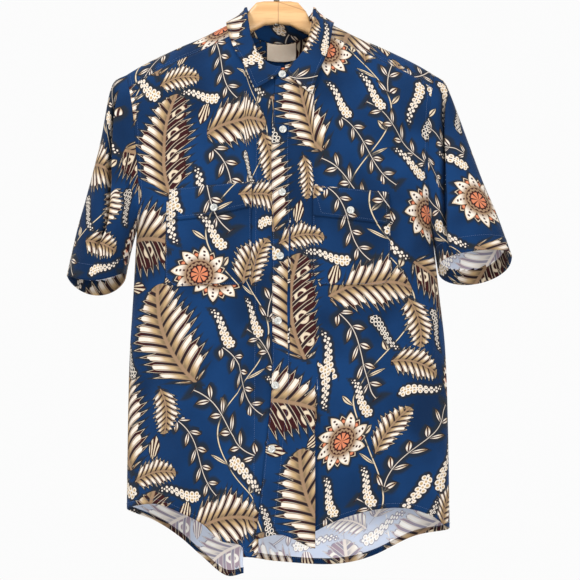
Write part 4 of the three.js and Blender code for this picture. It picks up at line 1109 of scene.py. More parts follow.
def leaf_grid():
    angle, side, face = neck_round(LEAF_WAY["left"], LEAF_WAY["right"], 2.0)
    left = LEAF_WAY["left"]
    way = np.where(side > 0, left + face * angle, left + 180 - face * angle)
    edge = np.stack([curve(way) for curve in leaf_edge_curves()], -1)
    _, top, out = stand_at(angle, side, face)
    risen = ease((angle - LEAF_LAP_FROM) / LEAF_LAP_EASE)
    lapped = np.where((side < 0) & (face < 0), STAND_LAP * risen, 0)
    top = top + out * lapped[..., None]
    up = np.array([0, 0, 1.0])
    start = top + out * LEAF_TURN - up * LEAF_TURN / 2
    fall = np.linalg.norm(edge - start, axis=-1, keepdims=True)
    bend = start + out * LEAF_ROLL - up * LEAF_SPRING * fall
    inside = top - out * COLLAR_WALL + up * LEAF_CAP
    crown = top + out * LEAF_TURN * CROWN_OUT + up * (LEAF_CAP - CROWN_DROP)
    rising = mix(inside, crown, 0.5) + up * CAP_ROUND
    rolling = mix(crown, start, 0.55) + out * ROLL_ROUND + up * ROLL_ROUND
    cap = [inside, rising, crown, rolling]
    t = np.linspace(0, 1, 17)[:, None, None]
    falling = start * (1 - t) ** 2 + bend * 2 * t * (1 - t) + edge * t * t
    return np.concatenate([np.stack(cap), falling])


def make_leaf():
    outer = leaf_grid()
    normals = grid_normals(outer, 1)
    middle = outer.mean(axis=(0, 1))
    level = (outer - middle)[-1]
    normals = normals * np.sign(np.sum(normals[-1, :, :2] * level[:, :2]))
    round_at = lengths_along(outer, 1)[4] + 0 * outer[..., 0]
    cloth = np.stack([round_at, -lengths_along(outer, 0)], -1)
    turned = turned_rows(outer, len(outer))
    return shell("shirt_collar_leaf", outer, normals, COLLAR_WALL, cloth, (60, 260), turned=turned)


leaf = make_leaf()

# %% [markdown]
# ## Pockets and flaps
# Two patch pockets lie on the fronts, and each has a buttoned flap over its mouth. They follow the
# fronts' own surface, creases included, and stand off it by the thickness of the cloth. The print runs
# on across them, since they were cut to match.

# %% Pockets and flaps
ON_PANEL = 0.7
CAD_WALL = 1.2
FLAP_FALL, FLAP_EASE = 50, 10
POCKET_CORNER = 14
POCKET_ROWS, FLAP_ROWS, PATCH_COLUMNS = 44, 22, 44
POCKETS = {-1: (-163, -37, -402, -534), 1: (54, 169, -406, -534)}
FLAPS = {
    -1: ([(-159, -386), (-36, -377)], [(-157, -434), (-106, -430), (-36, -415)]),
    1: ([(55, -383), (168, -391)], [(63, -430), (120, -436), (167, -441)]),
}


def patch(name, side, top_z, bottom_z, ends, rows, rise):
    """A patch on a front between a top and a bottom line; below its seam it stands off by rise."""
    x = np.linspace(*ends, PATCH_COLUMNS)[None, :] + np.zeros((rows, 1))
    t = np.linspace(0, 1, rows)[:, None] + np.zeros((1, PATCH_COLUMNS))
    z = mix(top_z(x), bottom_z(x), t)
    point, normal = on_front(x, z, side)
    lift = ON_PANEL + rise * ease(t * FLAP_FALL / FLAP_EASE)
    outer = point + normal * (lift + WALL)[..., None]
    return shell(name, outer, normal, WALL, np.stack([x, z], -1), FRONT_BOLT[side])


def make_pocket(name, side):
    x0, x1, top, bottom = POCKETS[side]

    def foot(x):
        edge = np.minimum(x - x0, x1 - x)
        return bottom + POCKET_CORNER * (1 - ease(edge / POCKET_CORNER))

    mouth = through([(x0, top), (x1, top)])
    return patch(name, side, mouth, foot, (x0, x1), POCKET_ROWS, 0)


def make_flap(name, side):
    top, bottom = FLAPS[side]
    ends = (top[0][0], top[1][0])
    return patch(name, side, through(top), through(bottom), ends, FLAP_ROWS, ON_PANEL + CAD_WALL)


pocket_right = make_pocket("shirt_pocket_right", -1)
pocket_left = make_pocket("shirt_pocket_left", 1)
flap_right = make_flap("shirt_flap_right", -1)
flap_left = make_flap("shirt_flap_left", 1)

# %% [markdown]
# ## The woven label
# A plain cream label is sewn under the back neck seam. It is left bare. It is a small thin sheet on the
# inside of the yoke, tilted a little and lifting at its lower corners, as a loose label does.

# %% Neck label
LABEL_SPAN = (-15, 30)
LABEL_DOWN = 28
LABEL_IN = 1.9
LABEL_WALL = 0.9
LABEL_TILT = 1.2
LABEL_CURL = 0.5
LABEL_ROWS, LABEL_COLUMNS = 20, 30


def make_label():
    x = np.linspace(*LABEL_SPAN, LABEL_COLUMNS)[None, :] + np.zeros((LABEL_ROWS, 1))
    t = np.linspace(0, 1, LABEL_ROWS)[:, None]
    across = (x - NECK_X) / NECK_HALF
    q = NECK_BACK_Q * np.sqrt(1 - across**2) + 1 + LABEL_DOWN * t + LABEL_TILT * across
    point, normal = over_ridge(x, q)
    corner = np.abs(np.linspace(-1, 1, LABEL_COLUMNS))[None, :] ** 4 * t**3
    outer = point - normal * (LABEL_IN + LABEL_CURL * corner)[..., None]
    return shell("shirt_neck_label", outer, normal, LABEL_WALL, np.stack([x, -q], -1), (0, 0))


label = make_label()

# %% [markdown]
# ## Turned buttons
# A shirt button is turned from shell: a raised rim, a dished middle and four holes with two bars of
# thread. One button is turned on a lathe in code, the holes are cut with a boolean, and Geometry Nodes
# set a copy on each place, facing the way the cloth faces there. The tree gives the button and its white
# thread the shell's finish too, so it runs once that is made.

# %% One button
BUTTON_RADIUS, BUTTON_THICK, BUTTON_DISH = 5.6, 2.4, 0.8
HOLE_RADIUS, HOLE_AT = 0.62, 1.25
THREAD_RADIUS, THREAD_HEIGHT = 0.32, BUTTON_THICK - BUTTON_DISH + 0.1


def lathe(profile, sides, z=0.0):
    """A closed turned solid from (radius, height) pairs that start and end on the axis."""
    bm = bmesh.new()
    rings = []
    for radius, height in profile:
        if radius < 1e-6:
            rings.append([bm.verts.new((0, 0, z + height))])
            continue
        turns = [2 * math.pi * k / sides for k in range(sides)]
        ring = [bm.verts.new((radius * math.cos(t), radius * math.sin(t), z + height)) for t in turns]
        rings.append(ring)
    for low, high in zip(rings, rings[1:]):
        for k in range(sides):
            lower = [low[i % len(low)] for i in (k, k + 1)]
            upper = [high[i % len(high)] for i in (k + 1, k)]
            bm.faces.new(list(dict.fromkeys(lower + upper)))
    bmesh.ops.recalc_face_normals(bm, faces=bm.faces[:])
    return bm


def object_from(bm, name, smooth=True):
    mesh = bpy.data.meshes.new(name)
    bm.to_mesh(mesh)
    bm.free()
    mesh.polygons.foreach_set("use_smooth", np.full(len(mesh.polygons), smooth))
    return placed(name, mesh)


def plain_copy(piece, name):
    """The evaluated piece as a new object with a plain mesh and no empty slots; the old one goes."""
    graph = bpy.context.evaluated_depsgraph_get()
    mesh = bpy.data.meshes.new_from_object(piece.evaluated_get(graph))
    mesh.name = name
    for k in reversed(range(len(mesh.materials))):
        if mesh.materials[k] is None:
            mesh.materials.pop(index=k)
    bpy.data.objects.remove(piece)
    return placed(name, mesh)


def add_rod(bm, radius, length, sides):
    """Adds an upright rod, and returns its points."""
    sizes = {"radius1": radius * MM, "radius2": radius * MM, "depth": length * MM}
    return bmesh.ops.create_cone(bm, cap_ends=True, segments=sides, **sizes)["verts"]


def make_one_button():
    rim, top = BUTTON_RADIUS, BUTTON_THICK
    dish = top - BUTTON_DISH
    profile = [(0, 0), (rim - 0.9, 0), (rim - 0.3, 0.25), (rim, 0.8), (rim, top - 0.7)]
    profile += [(rim - 0.25, top - 0.2), (rim - 0.8, top), (rim - 1.4, top - 0.1)]
    profile += [(rim - 2.1, dish + 0.2), (rim - 2.7, dish), (0, dish)]
    button = object_from(lathe([(r * MM, h * MM) for r, h in profile], 40), "button_blank")
    holes = bmesh.new()
    for x in (-HOLE_AT, HOLE_AT):
        for y in (-HOLE_AT, HOLE_AT):
            verts = add_rod(holes, HOLE_RADIUS, 4 * top, 12)
            bmesh.ops.translate(holes, verts=verts, vec=(x * MM, y * MM, 0))
    cutter = object_from(holes, "button_cutter")
    cut = button.modifiers.new("holes", "BOOLEAN")
    cut.operation = "DIFFERENCE"
    cut.object = cutter
    button = plain_copy(button, "button_turned")
    bpy.data.objects.remove(cutter)
    return button


def make_thread_bars():
    """Two bars of thread across the holes, laid down from upright rods."""
    bars = bmesh.new()
    for x in (-HOLE_AT, HOLE_AT):
        for v in add_rod(bars, THREAD_RADIUS, 2.5 * HOLE_AT, 8):
            v.co = (v.co.x + x * MM, v.co.z, v.co.y + THREAD_HEIGHT * MM)
    bmesh.ops.reverse_faces(bars, faces=bars.faces[:])
    return object_from(bars, "button_thread", smooth=False)


one_button, thread_bars = make_one_button(), make_thread_bars()
print("one button's faces:", len(one_button.data.polygons), "thread:", len(thread_bars.data.polygons))

# %% [markdown]
# ## Where the buttons go
# Six buttons run down the placket, one closes the collar stand and one sits on each pocket flap. Each
# place is a point on the cloth and the cloth's own direction there.

# %% Button places
PLACKET_BUTTONS = [(10, -297), (9, -394), (6, -491), (3, -589), (-1, -685), (-6, -779)]
FLAP_BUTTONS = {-1: (-92, -417), 1: (110, -421)}
BUTTON_GAP = 0.5
STAND_BUTTON_X, STAND_BUTTON_OUT = 9, 1.8
STAND_BUTTON_TURN, STAND_BUTTON_SHARE = 91.0, 0.35


def button_places():
    places = []
    for x, z in PLACKET_BUTTONS:
        point, normal = on_front(x, z, 1)
        places.append((point + normal * BUTTON_GAP, normal))
    for side, (x, z) in FLAP_BUTTONS.items():
        point, normal = on_front(x, z, side)
        places.append((point + normal * (2 * ON_PANEL + CAD_WALL + WALL + BUTTON_GAP), normal))
    foot, top, _ = stand_at(np.array([STAND_BUTTON_TURN]), np.array([1]), np.array([-1]))
    middle = mix(foot[0], top[0], STAND_BUTTON_SHARE)
    middle[0] = STAND_BUTTON_X
    forward = np.array([0, -1.0, 0])
    places.append((middle + forward * STAND_BUTTON_OUT, forward))
    return places


print("button places:", len(button_places()))


# %% Set the buttons with Geometry Nodes
def node_group(name, inputs):
    """A geometry node group with the named inputs, and its in and out nodes."""
    group = bpy.data.node_groups.new(name, "GeometryNodeTree")
    group.interface.new_socket("Geometry", in_out="INPUT", socket_type="NodeSocketGeometry")
    for label_text, kind in inputs:
        group.interface.new_socket(label_text, in_out="INPUT", socket_type=kind)
    group.interface.new_socket("Geometry", in_out="OUTPUT", socket_type="NodeSocketGeometry")
    return group, group.nodes.new("NodeGroupInput"), group.nodes.new("NodeGroupOutput")


def link_up(group, *rows):
    """Links nodes; each row is a node, its output, the next node and its input."""
    for source, output, target, place in rows:
        group.links.new(source.outputs[output], target.inputs[place])


def run_group(piece, group, values, name):
    """Runs a node group on a piece with its inputs set, and returns the plain result."""
    modifier = piece.modifiers.new("nodes", "NODES")
    modifier.node_group = group
    for item in group.interface.items_tree:
        if item.item_type == "SOCKET" and item.in_out == "INPUT" and item.name in values:
            modifier[item.identifier] = values[item.name]
    return plain_copy(piece, name)


def button_group():
    """Sets a button and its thread on each point, turned to the attribute that says where it faces."""
    sockets = [("Button", "NodeSocketObject"), ("Thread bars", "NodeSocketObject")]
    sockets += [("Shell", "NodeSocketMaterial")]
    group, start, end = node_group("set_buttons", sockets)
    nodes = group.nodes
    facing = nodes.new("GeometryNodeInputNamedAttribute")
    facing.data_type = "FLOAT_VECTOR"
    facing.inputs["Name"].default_value = "facing"
    turn = nodes.new("FunctionNodeAlignRotationToVector")
    turn.axis = "Z"
    both = nodes.new("GeometryNodeJoinGeometry")
    link_up(group, (facing, "Attribute", turn, "Vector"), (both, "Geometry", end, "Geometry"))
    for part in ("Thread bars", "Button"):
        copy = nodes.new("GeometryNodeObjectInfo")
        place = nodes.new("GeometryNodeInstanceOnPoints")
        real = nodes.new("GeometryNodeRealizeInstances")
        finish = nodes.new("GeometryNodeSetMaterial")
        link_up(
            group,
            (start, part, copy, "Object"),
            (start, "Geometry", place, "Points"),
            (copy, "Geometry", place, "Instance"),
            (turn, "Rotation", place, "Rotation"),
            (place, "Instances", real, "Geometry"),
            (real, "Geometry", finish, "Geometry"),
            (start, "Shell", finish, "Material"),
            (finish, "Geometry", both, "Geometry"),
        )
    return group


def set_buttons(shell_finish):
    places = button_places()
    mesh = bpy.data.meshes.new("button_points")
    mesh.from_pydata([tuple(p * MM) for p, _ in places], [], [])
    facing = mesh.attributes.new("facing", "FLOAT_VECTOR", "POINT")
    facing.data.foreach_set("vector", np.array([n for _, n in places]).ravel())
    values = {"Button": one_button, "Thread bars": thread_bars, "Shell": shell_finish}
    made = run_group(placed("button_points", mesh), button_group(), values, "shirt_buttons")
    for part in (one_button, thread_bars):
        bpy.data.objects.remove(part)
    print("buttons set:", len(places), "finishes:", [m.name for m in made.data.materials])
    return made


print("parts of a button:", one_button.name, thread_bars.name)

# %% [markdown]
# ## The wooden hanger
# The hanger is two arms of pale wood joined at the middle, thick and rounded towards the tips, with a
# stepped block above the neck. It is lofted: a rounded section is set at every millimetre or two from
# tip to tip. Its top follows just under the yoke.

# %% Hanger
HANGER_X = 1
ARM_GAP = 1.3
HANGER_MIDDLE = [
    (0, -75, -111, 7), (20, -75, -113, 7), (32, -77, -120, 7), (44, -91, -125, 7),
    (47, -97, -127, 7), (50, -108, -129, 7), (60, -112.5, -136, 7.5),
]
HANGER_ARM = [(74, 27, 8), (100, 26, 9), (135, 24, 10.5), (170, 23, 11.5), (202, 22, 11.5), (222, 19, 8.5)]
HANGER_SIDES = 44
MIDDLE_END, MIDDLE_EASE = 60, 14
MIDDLE_SQUARE, ARM_SQUARE = 3.2, 2.0
TIP_ROUNDS = [(219.5, 0.97), (221, 0.88), (221.7, 0.7), (222, 0.42)]


def hanger_sections(side):
    """x, top, height, half width and squareness of the sections from the middle to one tip."""
    d = np.concatenate([np.arange(0, 61, 1.0), np.arange(62, 219, 2.5), [row[0] for row in TIP_ROUNDS]])
    x = HANGER_X + side * d
    mid = np.array(HANGER_MIDDLE)
    arm = np.array(HANGER_ARM)
    under_yoke = ridge_at(x) - CAD_WALL - ARM_GAP
    top_mid = np.interp(d, mid[:, 0], mid[:, 1])
    low_mid = np.interp(d, mid[:, 0], mid[:, 2])
    join = np.clip((d - MIDDLE_END) / MIDDLE_EASE, 0, 1)
    top = mix(top_mid, under_yoke, join)
    high = mix(top_mid - low_mid, np.interp(d, arm[:, 0], arm[:, 1]), join)
    half = mix(np.interp(d, mid[:, 0], mid[:, 3]), np.interp(d, arm[:, 0], arm[:, 2]), join)
    power = mix(MIDDLE_SQUARE, ARM_SQUARE, join)
    shrink = np.ones_like(d)
    for at, share in TIP_ROUNDS:
        shrink[d == at] = share
    return x, top, high, half, power, shrink


def hanger_rings():
    """Rings of points from tip to tip, each a rounded square of its section's size."""
    rings = []
    for side in (-1, 1):
        made = []
        for x, top, high, half, power, shrink in zip(*hanger_sections(side)):
            turn = 2 * np.pi * (np.arange(HANGER_SIDES) + 0.5) / HANGER_SIDES
            y, z = (np.sign(v) * np.abs(v) ** (2 / power) for v in (np.cos(turn), np.sin(turn)))
            made.append(np.stack([0 * y + x, half * shrink * y, top - high / 2 + high / 2 * shrink * z], -1))
        rings += made[::-1] if side < 0 else made[1:]
    return np.array(rings)


def loft(name, rings):
    """Joins rings of points and closes both ends with a fan to their middles."""
    rows, sides = rings.shape[:2]
    bm = bmesh.new()
    verts = [[bm.verts.new(p * MM) for p in ring] for ring in rings]
    for low, high in zip(verts, verts[1:]):
        for k in range(sides):
            bm.faces.new((low[k], low[(k + 1) % sides], high[(k + 1) % sides], high[k]))
    for ring, points in ((verts[0], rings[0]), (verts[-1], rings[-1])):
        middle = bm.verts.new(points.mean(axis=0) * MM)
        for k in range(sides):
            bm.faces.new((ring[k], ring[(k + 1) % sides], middle))
    bmesh.ops.recalc_face_normals(bm, faces=bm.faces[:])
    return object_from(bm, name)


hanger = loft("hanger_arms", hanger_rings())
print("hanger faces:", len(hanger.data.polygons))

# %% [markdown]
# ## The hook and its washers
# The hook is one bent wire: a stem out of the block, a swing to one side and most of a circle. A round
# section is swept along that line. Its tip is rounded, so that it won't scratch.

# %% Hook
WIRE = 1.9
HOOK_RADIUS = 23
HOOK_STEM = (-72.1, -62)
HOOK_START, HOOK_END = -48, 205
HOOK_PULL = 26.0
# How far ahead each ring of the rounded tip lies, and its size, both as shares of the radius
TIP_RINGS = [(0.35, 0.94), (0.65, 0.76), (0.9, 0.44)]


def hook_line():
    """The wire's middle line: the stem, a cubic swing and the arc."""
    turn = np.radians(np.linspace(HOOK_START, HOOK_END, 90))
    reach = HOOK_RADIUS + WIRE
    arc = np.stack([reach * np.cos(turn), 0 * turn, reach * np.sin(turn) - HOOK_RADIUS], -1)
    stem = np.stack([np.zeros(5), np.zeros(5), np.linspace(*HOOK_STEM, 5)], -1)
    t = np.linspace(0, 1, 16)[1:-1, None]
    leave = np.array([0, 0, HOOK_PULL])
    arrive = np.array([-np.sin(turn[0]), 0, np.cos(turn[0])]) * HOOK_PULL
    swing = (2 * t**3 - 3 * t**2 + 1) * stem[-1] + (t**3 - 2 * t**2 + t) * leave
    swing = swing + (3 * t**2 - 2 * t**3) * arc[0] + (t**3 - t**2) * arrive
    return np.concatenate([stem, swing, arc])


def swept(name, line, radius, sides=18):
    """A round wire along a line in the XZ plane, with a rounded far end."""
    along = unit(np.gradient(line, axis=0))
    aside = np.stack([along[:, 2], 0 * along[:, 0], -along[:, 0]], -1)
    size = np.full(len(line), radius)
    tips = [line[-1] + along[-1] * radius * ahead for ahead, _ in TIP_RINGS]
    line = np.concatenate([line, tips])
    aside = np.concatenate([aside, np.repeat(aside[-1:], len(TIP_RINGS), axis=0)])
    size = np.concatenate([size, [radius * share for _, share in TIP_RINGS]])
    turn = 2 * np.pi * np.arange(sides) / sides
    across = aside[:, None] * np.cos(turn)[None, :, None]
    level = np.array([0, 1.0, 0]) * np.sin(turn)[None, :, None]
    return loft(name, line[:, None] + (across + level) * size[:, None, None])


hook = swept("hanger_hook_wire", hook_line(), WIRE)
WASHER = [(0, -1.25), (4.0, -1.25), (4.4, -1.0), (4.5, -0.6), (4.5, 0.6), (4.4, 1.0), (4.0, 1.25), (0, 1.25)]
WASHER_HEIGHTS = {"hanger_hook_washer": -73.45, "hanger_hook_nut": -112.95}
washers = {
    name: object_from(lathe([(r * MM, h * MM) for r, h in WASHER], 40, z * MM), name)
    for name, z in WASHER_HEIGHTS.items()
}
print("hook faces:", len(hook.data.polygons), "washers:", len(washers))

# %% [markdown]
# ## Topstitching
# Rows of stitches hold the armholes, yoke, collar, placket, pockets and hems. Each row is a line of
# points just above the cloth. Geometry Nodes walk along the lines and set one small stitch every few
# millimetres, turned along the line, so one tree sews the whole shirt.

# %% Lines to stitch along
STITCH_UP, HEM_STITCH_UP, YOKE_STITCH_UP, CUFF_STITCH_UP = 0.25, 0.5, 0.4, 0.35
ARMHOLE_STITCH, HEM_STITCH = 6, 6.5
YOKE_STITCHES = (1.6, 6.5)
COLLAR_STITCH = 5


def column_inset(grid, inset, column):
    """A line down a grid at a distance from one of its side edges."""
    order = grid if column == 0 else grid[:, ::-1]
    rows = zip(lengths_along(order, 1), order)
    return np.array([[np.interp(inset, reach, row[:, k]) for k in range(3)] for reach, row in rows])


def row_inset(grid, inset):
    """A line across a grid at a distance from its last row."""
    return column_inset(grid[::-1].transpose(1, 0, 2), inset, 0)


def off_body(line, face, up=STITCH_UP):
    """A line lifted off the body's front (-1) or back (1)."""
    return line + body(line[:, 0], line[:, 2], face)[1] * up


def on_patch(points, side, up):
    """Points (x, z) laid on a front and lifted off it."""
    points = np.array(points, float)
    point, normal = on_front(points[:, 0], points[:, 1], side)
    return point + normal * up


def dense(points, step=3.0):
    """A broken line with points added every few millimetres."""
    points = np.array(points, float)
    reach = np.concatenate([[0], np.cumsum(np.hypot(*np.diff(points, axis=0).T))])
    at = np.linspace(0, reach[-1], int(reach[-1] / step) + 2)
    return np.stack([np.interp(at, reach, points[:, k]) for k in range(2)], -1)


def side_lines(side, front, sleeve):
    """Stitches round one armhole, along the yoke's front seam, the front's hem and the cuff."""
    column = 0 if side < 0 else -1
    armhole = slice(0, ROWS_UP - 2)
    lines = [
        off_body(column_inset(front, ARMHOLE_STITCH, -1)[armhole], -1),
        off_body(column_inset(grids["shirt_yoke"], ARMHOLE_STITCH, column), -1, YOKE_STITCH_UP),
        off_body(column_inset(grids["shirt_back"], ARMHOLE_STITCH, column)[armhole], 1),
        off_body(row_inset(front, HEM_STITCH), -1, HEM_STITCH_UP),
    ]
    x = np.linspace(armhole_x(front_corner_z(side), side) - side * 7, NECK_X + side * 60, 50)
    for past in YOKE_STITCHES:
        point, normal = over_ridge(x, 0 * x + YOKE_FRONT_Q + past)
        lines.append(point + normal * STITCH_UP)
    edge = row_inset(np.concatenate([sleeve, sleeve[:, :1]], axis=1), CUFF_BAND - 1)
    out = unit((edge - edge.mean(axis=0)) * (1, 1, 0))
    return lines + [edge + out * CUFF_STITCH_UP]


def body_lines():
    lines = side_lines(-1, grids["shirt_front_right"], grids["shirt_sleeve_right"])
    lines += side_lines(1, grids["shirt_front_left"], grids["shirt_sleeve_left"])
    x = np.linspace(-200, 214, 130)
    for past in YOKE_STITCHES:
        lines.append(off_body(body(x, yoke_back_z(x) + past, 1)[0], 1))
    hem = row_inset(grids["shirt_back"], HEM_STITCH)
    return lines + [off_body(hem, 1, HEM_STITCH_UP), off_body(hem, 1, -HEM_WALL - CUFF_STITCH_UP)]


PLACKET_STITCH, EDGE_STITCH = 24, 2
FACING_STITCH, FACING_LEAN = -29.5, 0.004
PLACKET_ENDS, FACING_ENDS = (-266, -894), (-262, -914)
SEAM_STITCH_UP = 0.6


def pocket_lines(side):
    """Stitches round a pocket, round its flap and along the flap's seam."""
    x0, x1, top, bottom = POCKETS[side]
    a, b, corner = x0 + 2, x1 - 2, POCKET_CORNER
    pocket = [(a, top - 2), (a, bottom + corner), (a + 3, bottom + 7), (a + corner, bottom + 2.4)]
    pocket += [(b - corner, bottom + 2.4), (b - 3, bottom + 7), (b, bottom + corner), (b, top - 2)]
    ((ax, az), (bx, bz)), low = FLAPS[side]
    (cx, cz), (dx, dz), (ex, ez) = low
    flap = [(ax + 4, az - 12), (cx + 4, cz + 4.5), (dx, dz + 4.5), (ex - 4, ez + 4.5), (bx - 4, bz - 12)]
    seam = [(ax + 1, az - 2), (bx - 1, bz - 2)]
    on_pocket = ON_PANEL + WALL
    ups = (on_pocket + STITCH_UP, ON_PANEL + CAD_WALL + on_pocket + STITCH_UP, on_pocket + SEAM_STITCH_UP)
    return [on_patch(dense(line), side, up) for line, up in zip((pocket, flap, seam), ups)]


def front_lines():
    z = np.linspace(*PLACKET_ENDS, 200)
    lines = [
        on_patch(np.stack([left_edge_x(z) + inset, z], -1), 1, STITCH_UP)
        for inset in (PLACKET_STITCH, EDGE_STITCH)
    ]
    z = np.linspace(*FACING_ENDS, 200)
    x = FACING_STITCH + FACING_LEAN * (z - FACING_ENDS[0])
    lines.append(on_patch(np.stack([x, z], -1), -1, STITCH_UP))
    return lines + pocket_lines(-1) + pocket_lines(1)


def collar_lines():
    grid = grids["shirt_collar_leaf"]
    edge = row_inset(grid, COLLAR_STITCH)[2:-2]
    normals = grid_normals(grid, 1)
    out = unit((grid[-1] - grid[4]) * (1, 1, 0))
    normals = normals * np.sign(np.sum(normals[-2] * out))
    lines = [edge + normals[-3, 2:-2] * STITCH_UP]
    for column in (0, -1):
        inset = column_inset(grid, COLLAR_STITCH, column)[5:-2]
        lines.append(inset + normals[5:-2, 2 if column == 0 else -3] * STITCH_UP)
    return lines


stitch_lines = body_lines() + front_lines() + collar_lines()
print("stitched lines:", len(stitch_lines))

# %% Sew with Geometry Nodes
STITCH_PITCH, STITCH_LENGTH, STITCH_THICK = 2.9, 2.1, 0.42


def stitch_group():
    sizes = [(name, "NodeSocketFloat") for name in ("Pitch", "Length", "Thickness")]
    group, start, end = node_group("sew_stitches", [*sizes, ("Thread", "NodeSocketMaterial")])
    nodes = group.nodes
    curve = nodes.new("GeometryNodeMeshToCurve")
    points = nodes.new("GeometryNodeCurveToPoints")
    points.mode = "LENGTH"
    stitch = nodes.new("GeometryNodeMeshIcoSphere")
    stitch.inputs["Radius"].default_value = 0.5
    stitch.inputs["Subdivisions"].default_value = 1
    turn = nodes.new("FunctionNodeAlignRotationToVector")
    turn.axis = "Z"
    size = nodes.new("ShaderNodeCombineXYZ")
    place = nodes.new("GeometryNodeInstanceOnPoints")
    real = nodes.new("GeometryNodeRealizeInstances")
    smooth = nodes.new("GeometryNodeSetShadeSmooth")
    finish = nodes.new("GeometryNodeSetMaterial")
    link_up(
        group,
        (start, "Geometry", curve, "Mesh"),
        (curve, "Curve", points, "Curve"),
        (start, "Pitch", points, "Length"),
        (points, "Points", place, "Points"),
        (points, "Tangent", turn, "Vector"),
        (turn, "Rotation", place, "Rotation"),
        (stitch, "Mesh", place, "Instance"),
        (start, "Thickness", size, "X"),
        (start, "Thickness", size, "Y"),
        (start, "Length", size, "Z"),
        (size, "Vector", place, "Scale"),
        (place, "Instances", real, "Geometry"),
        (real, "Geometry", smooth, "Geometry"),
        (smooth, "Geometry", finish, "Geometry"),
        (start, "Thread", finish, "Material"),
        (finish, "Geometry", end, "Geometry"),
    )
    return group


def sew(name, lines, thread):
    """Stitches along lines of points, as one plain mesh."""
    points = np.concatenate(lines) * MM
    starts = np.cumsum([0] + [len(line) for line in lines])
    edges = [(k, k + 1) for a, b in zip(starts, starts[1:]) for k in range(a, b - 1)]
    mesh = bpy.data.meshes.new(name + "_lines")
    mesh.from_pydata(points.tolist(), edges, [])
    carrier = placed(name + "_lines", mesh)
    values = {"Pitch": STITCH_PITCH * MM, "Length": STITCH_LENGTH * MM, "Thickness": STITCH_THICK * MM}
    made = run_group(carrier, stitch_group(), {**values, "Thread": thread}, name)
    print(name, "faces:", len(made.data.polygons))
    return made


print("stitches are", STITCH_LENGTH, "mm long, every", STITCH_PITCH, "mm")

# %% [markdown]
# ## Patterns written as formulas
# A print can be drawn in nodes as a formula: how far inside a leaf's outline is this point? To keep that
# readable, a small class stands for a number in the tree, and adding or multiplying two of them makes
# the Math node.

# %% Numbers in a material
class Wire:
    """A number that flows through Math nodes."""

    def __init__(self, tree, socket):
        self.tree = tree
        self.socket = socket

    def math(self, operation, *others):
        node = self.tree.nodes.new("ShaderNodeMath")
        node.operation = operation
        for place, value in zip(node.inputs, (self, *others)):
            if isinstance(value, Wire):
                self.tree.links.new(value.socket, place)
            else:
                place.default_value = value
        return Wire(self.tree, node.outputs[0])

    def __add__(self, other):
        return self.math("ADD", other)

    def __sub__(self, other):
        return self.math("SUBTRACT", other)

    def __rsub__(self, other):
        return self.math("MULTIPLY_ADD", -1.0, other)

    def __mul__(self, other):
        return self.math("MULTIPLY", other)

    def size(self):
        return self.math("ABSOLUTE")

    def step(self, low, high):
        """Rises smoothly from 0 at low to 1 at high."""
        node = self.tree.nodes.new("ShaderNodeMapRange")
        node.interpolation_type = "SMOOTHSTEP"
        self.tree.links.new(self.socket, node.inputs["Value"])
        node.inputs["From Min"].default_value = min(low, high)
        node.inputs["From Max"].default_value = max(low, high)
        node.inputs["To Min"].default_value = 0.0 if low < high else 1.0
        node.inputs["To Max"].default_value = 1.0 if low < high else 0.0
        return Wire(self.tree, node.outputs["Result"])


def split(tree, socket):
    """The three numbers of a vector."""
    parts = tree.nodes.new("ShaderNodeSeparateXYZ")
    tree.links.new(socket, parts.inputs[0])
    return [Wire(tree, output) for output in parts.outputs]


def length_of(a, b):
    return (a * a + b * b).math("SQRT")


def tint(tree, share, low, high):
    """Mixes two colours, each a tuple or a socket, by a number from 0 to 1."""
    node = tree.nodes.new("ShaderNodeMix")
    node.data_type = "RGBA"
    tree.links.new(share.socket, node.inputs[0])
    for place, colour in ((node.inputs[6], low), (node.inputs[7], high)):
        if isinstance(colour, tuple):
            place.default_value = colour
        else:
            tree.links.new(colour, place)
    return node.outputs[2]


def rgb(red, green, blue):
    """A screen colour in 0 to 255 as the linear colour that the shader takes."""
    linear = [((c / 255 + 0.055) / 1.055) ** 2.4 if c > 10 else c / 255 / 12.92 for c in (red, green, blue)]
    return (*linear, 1.0)


print("a screen grey of 128 is", round(rgb(128, 128, 128)[0], 3))

# %% [markdown]
# ## The motifs
# Every motif is drawn in its own square, from -1 to 1 each way, and gives two things: how far inside its
# outline a point is, and its colour there. The leaves are feathered by cutting their edge with a
# repeating notch, the bloom is built of rows of scales, and the flower of petals round a ringed heart.

# %% Leaves
def band(value, repeats):
    """0 in the middle of each repeat and 1 at its ends."""
    return ((value * repeats).math("FRACT") - 0.5).size() * 2.0


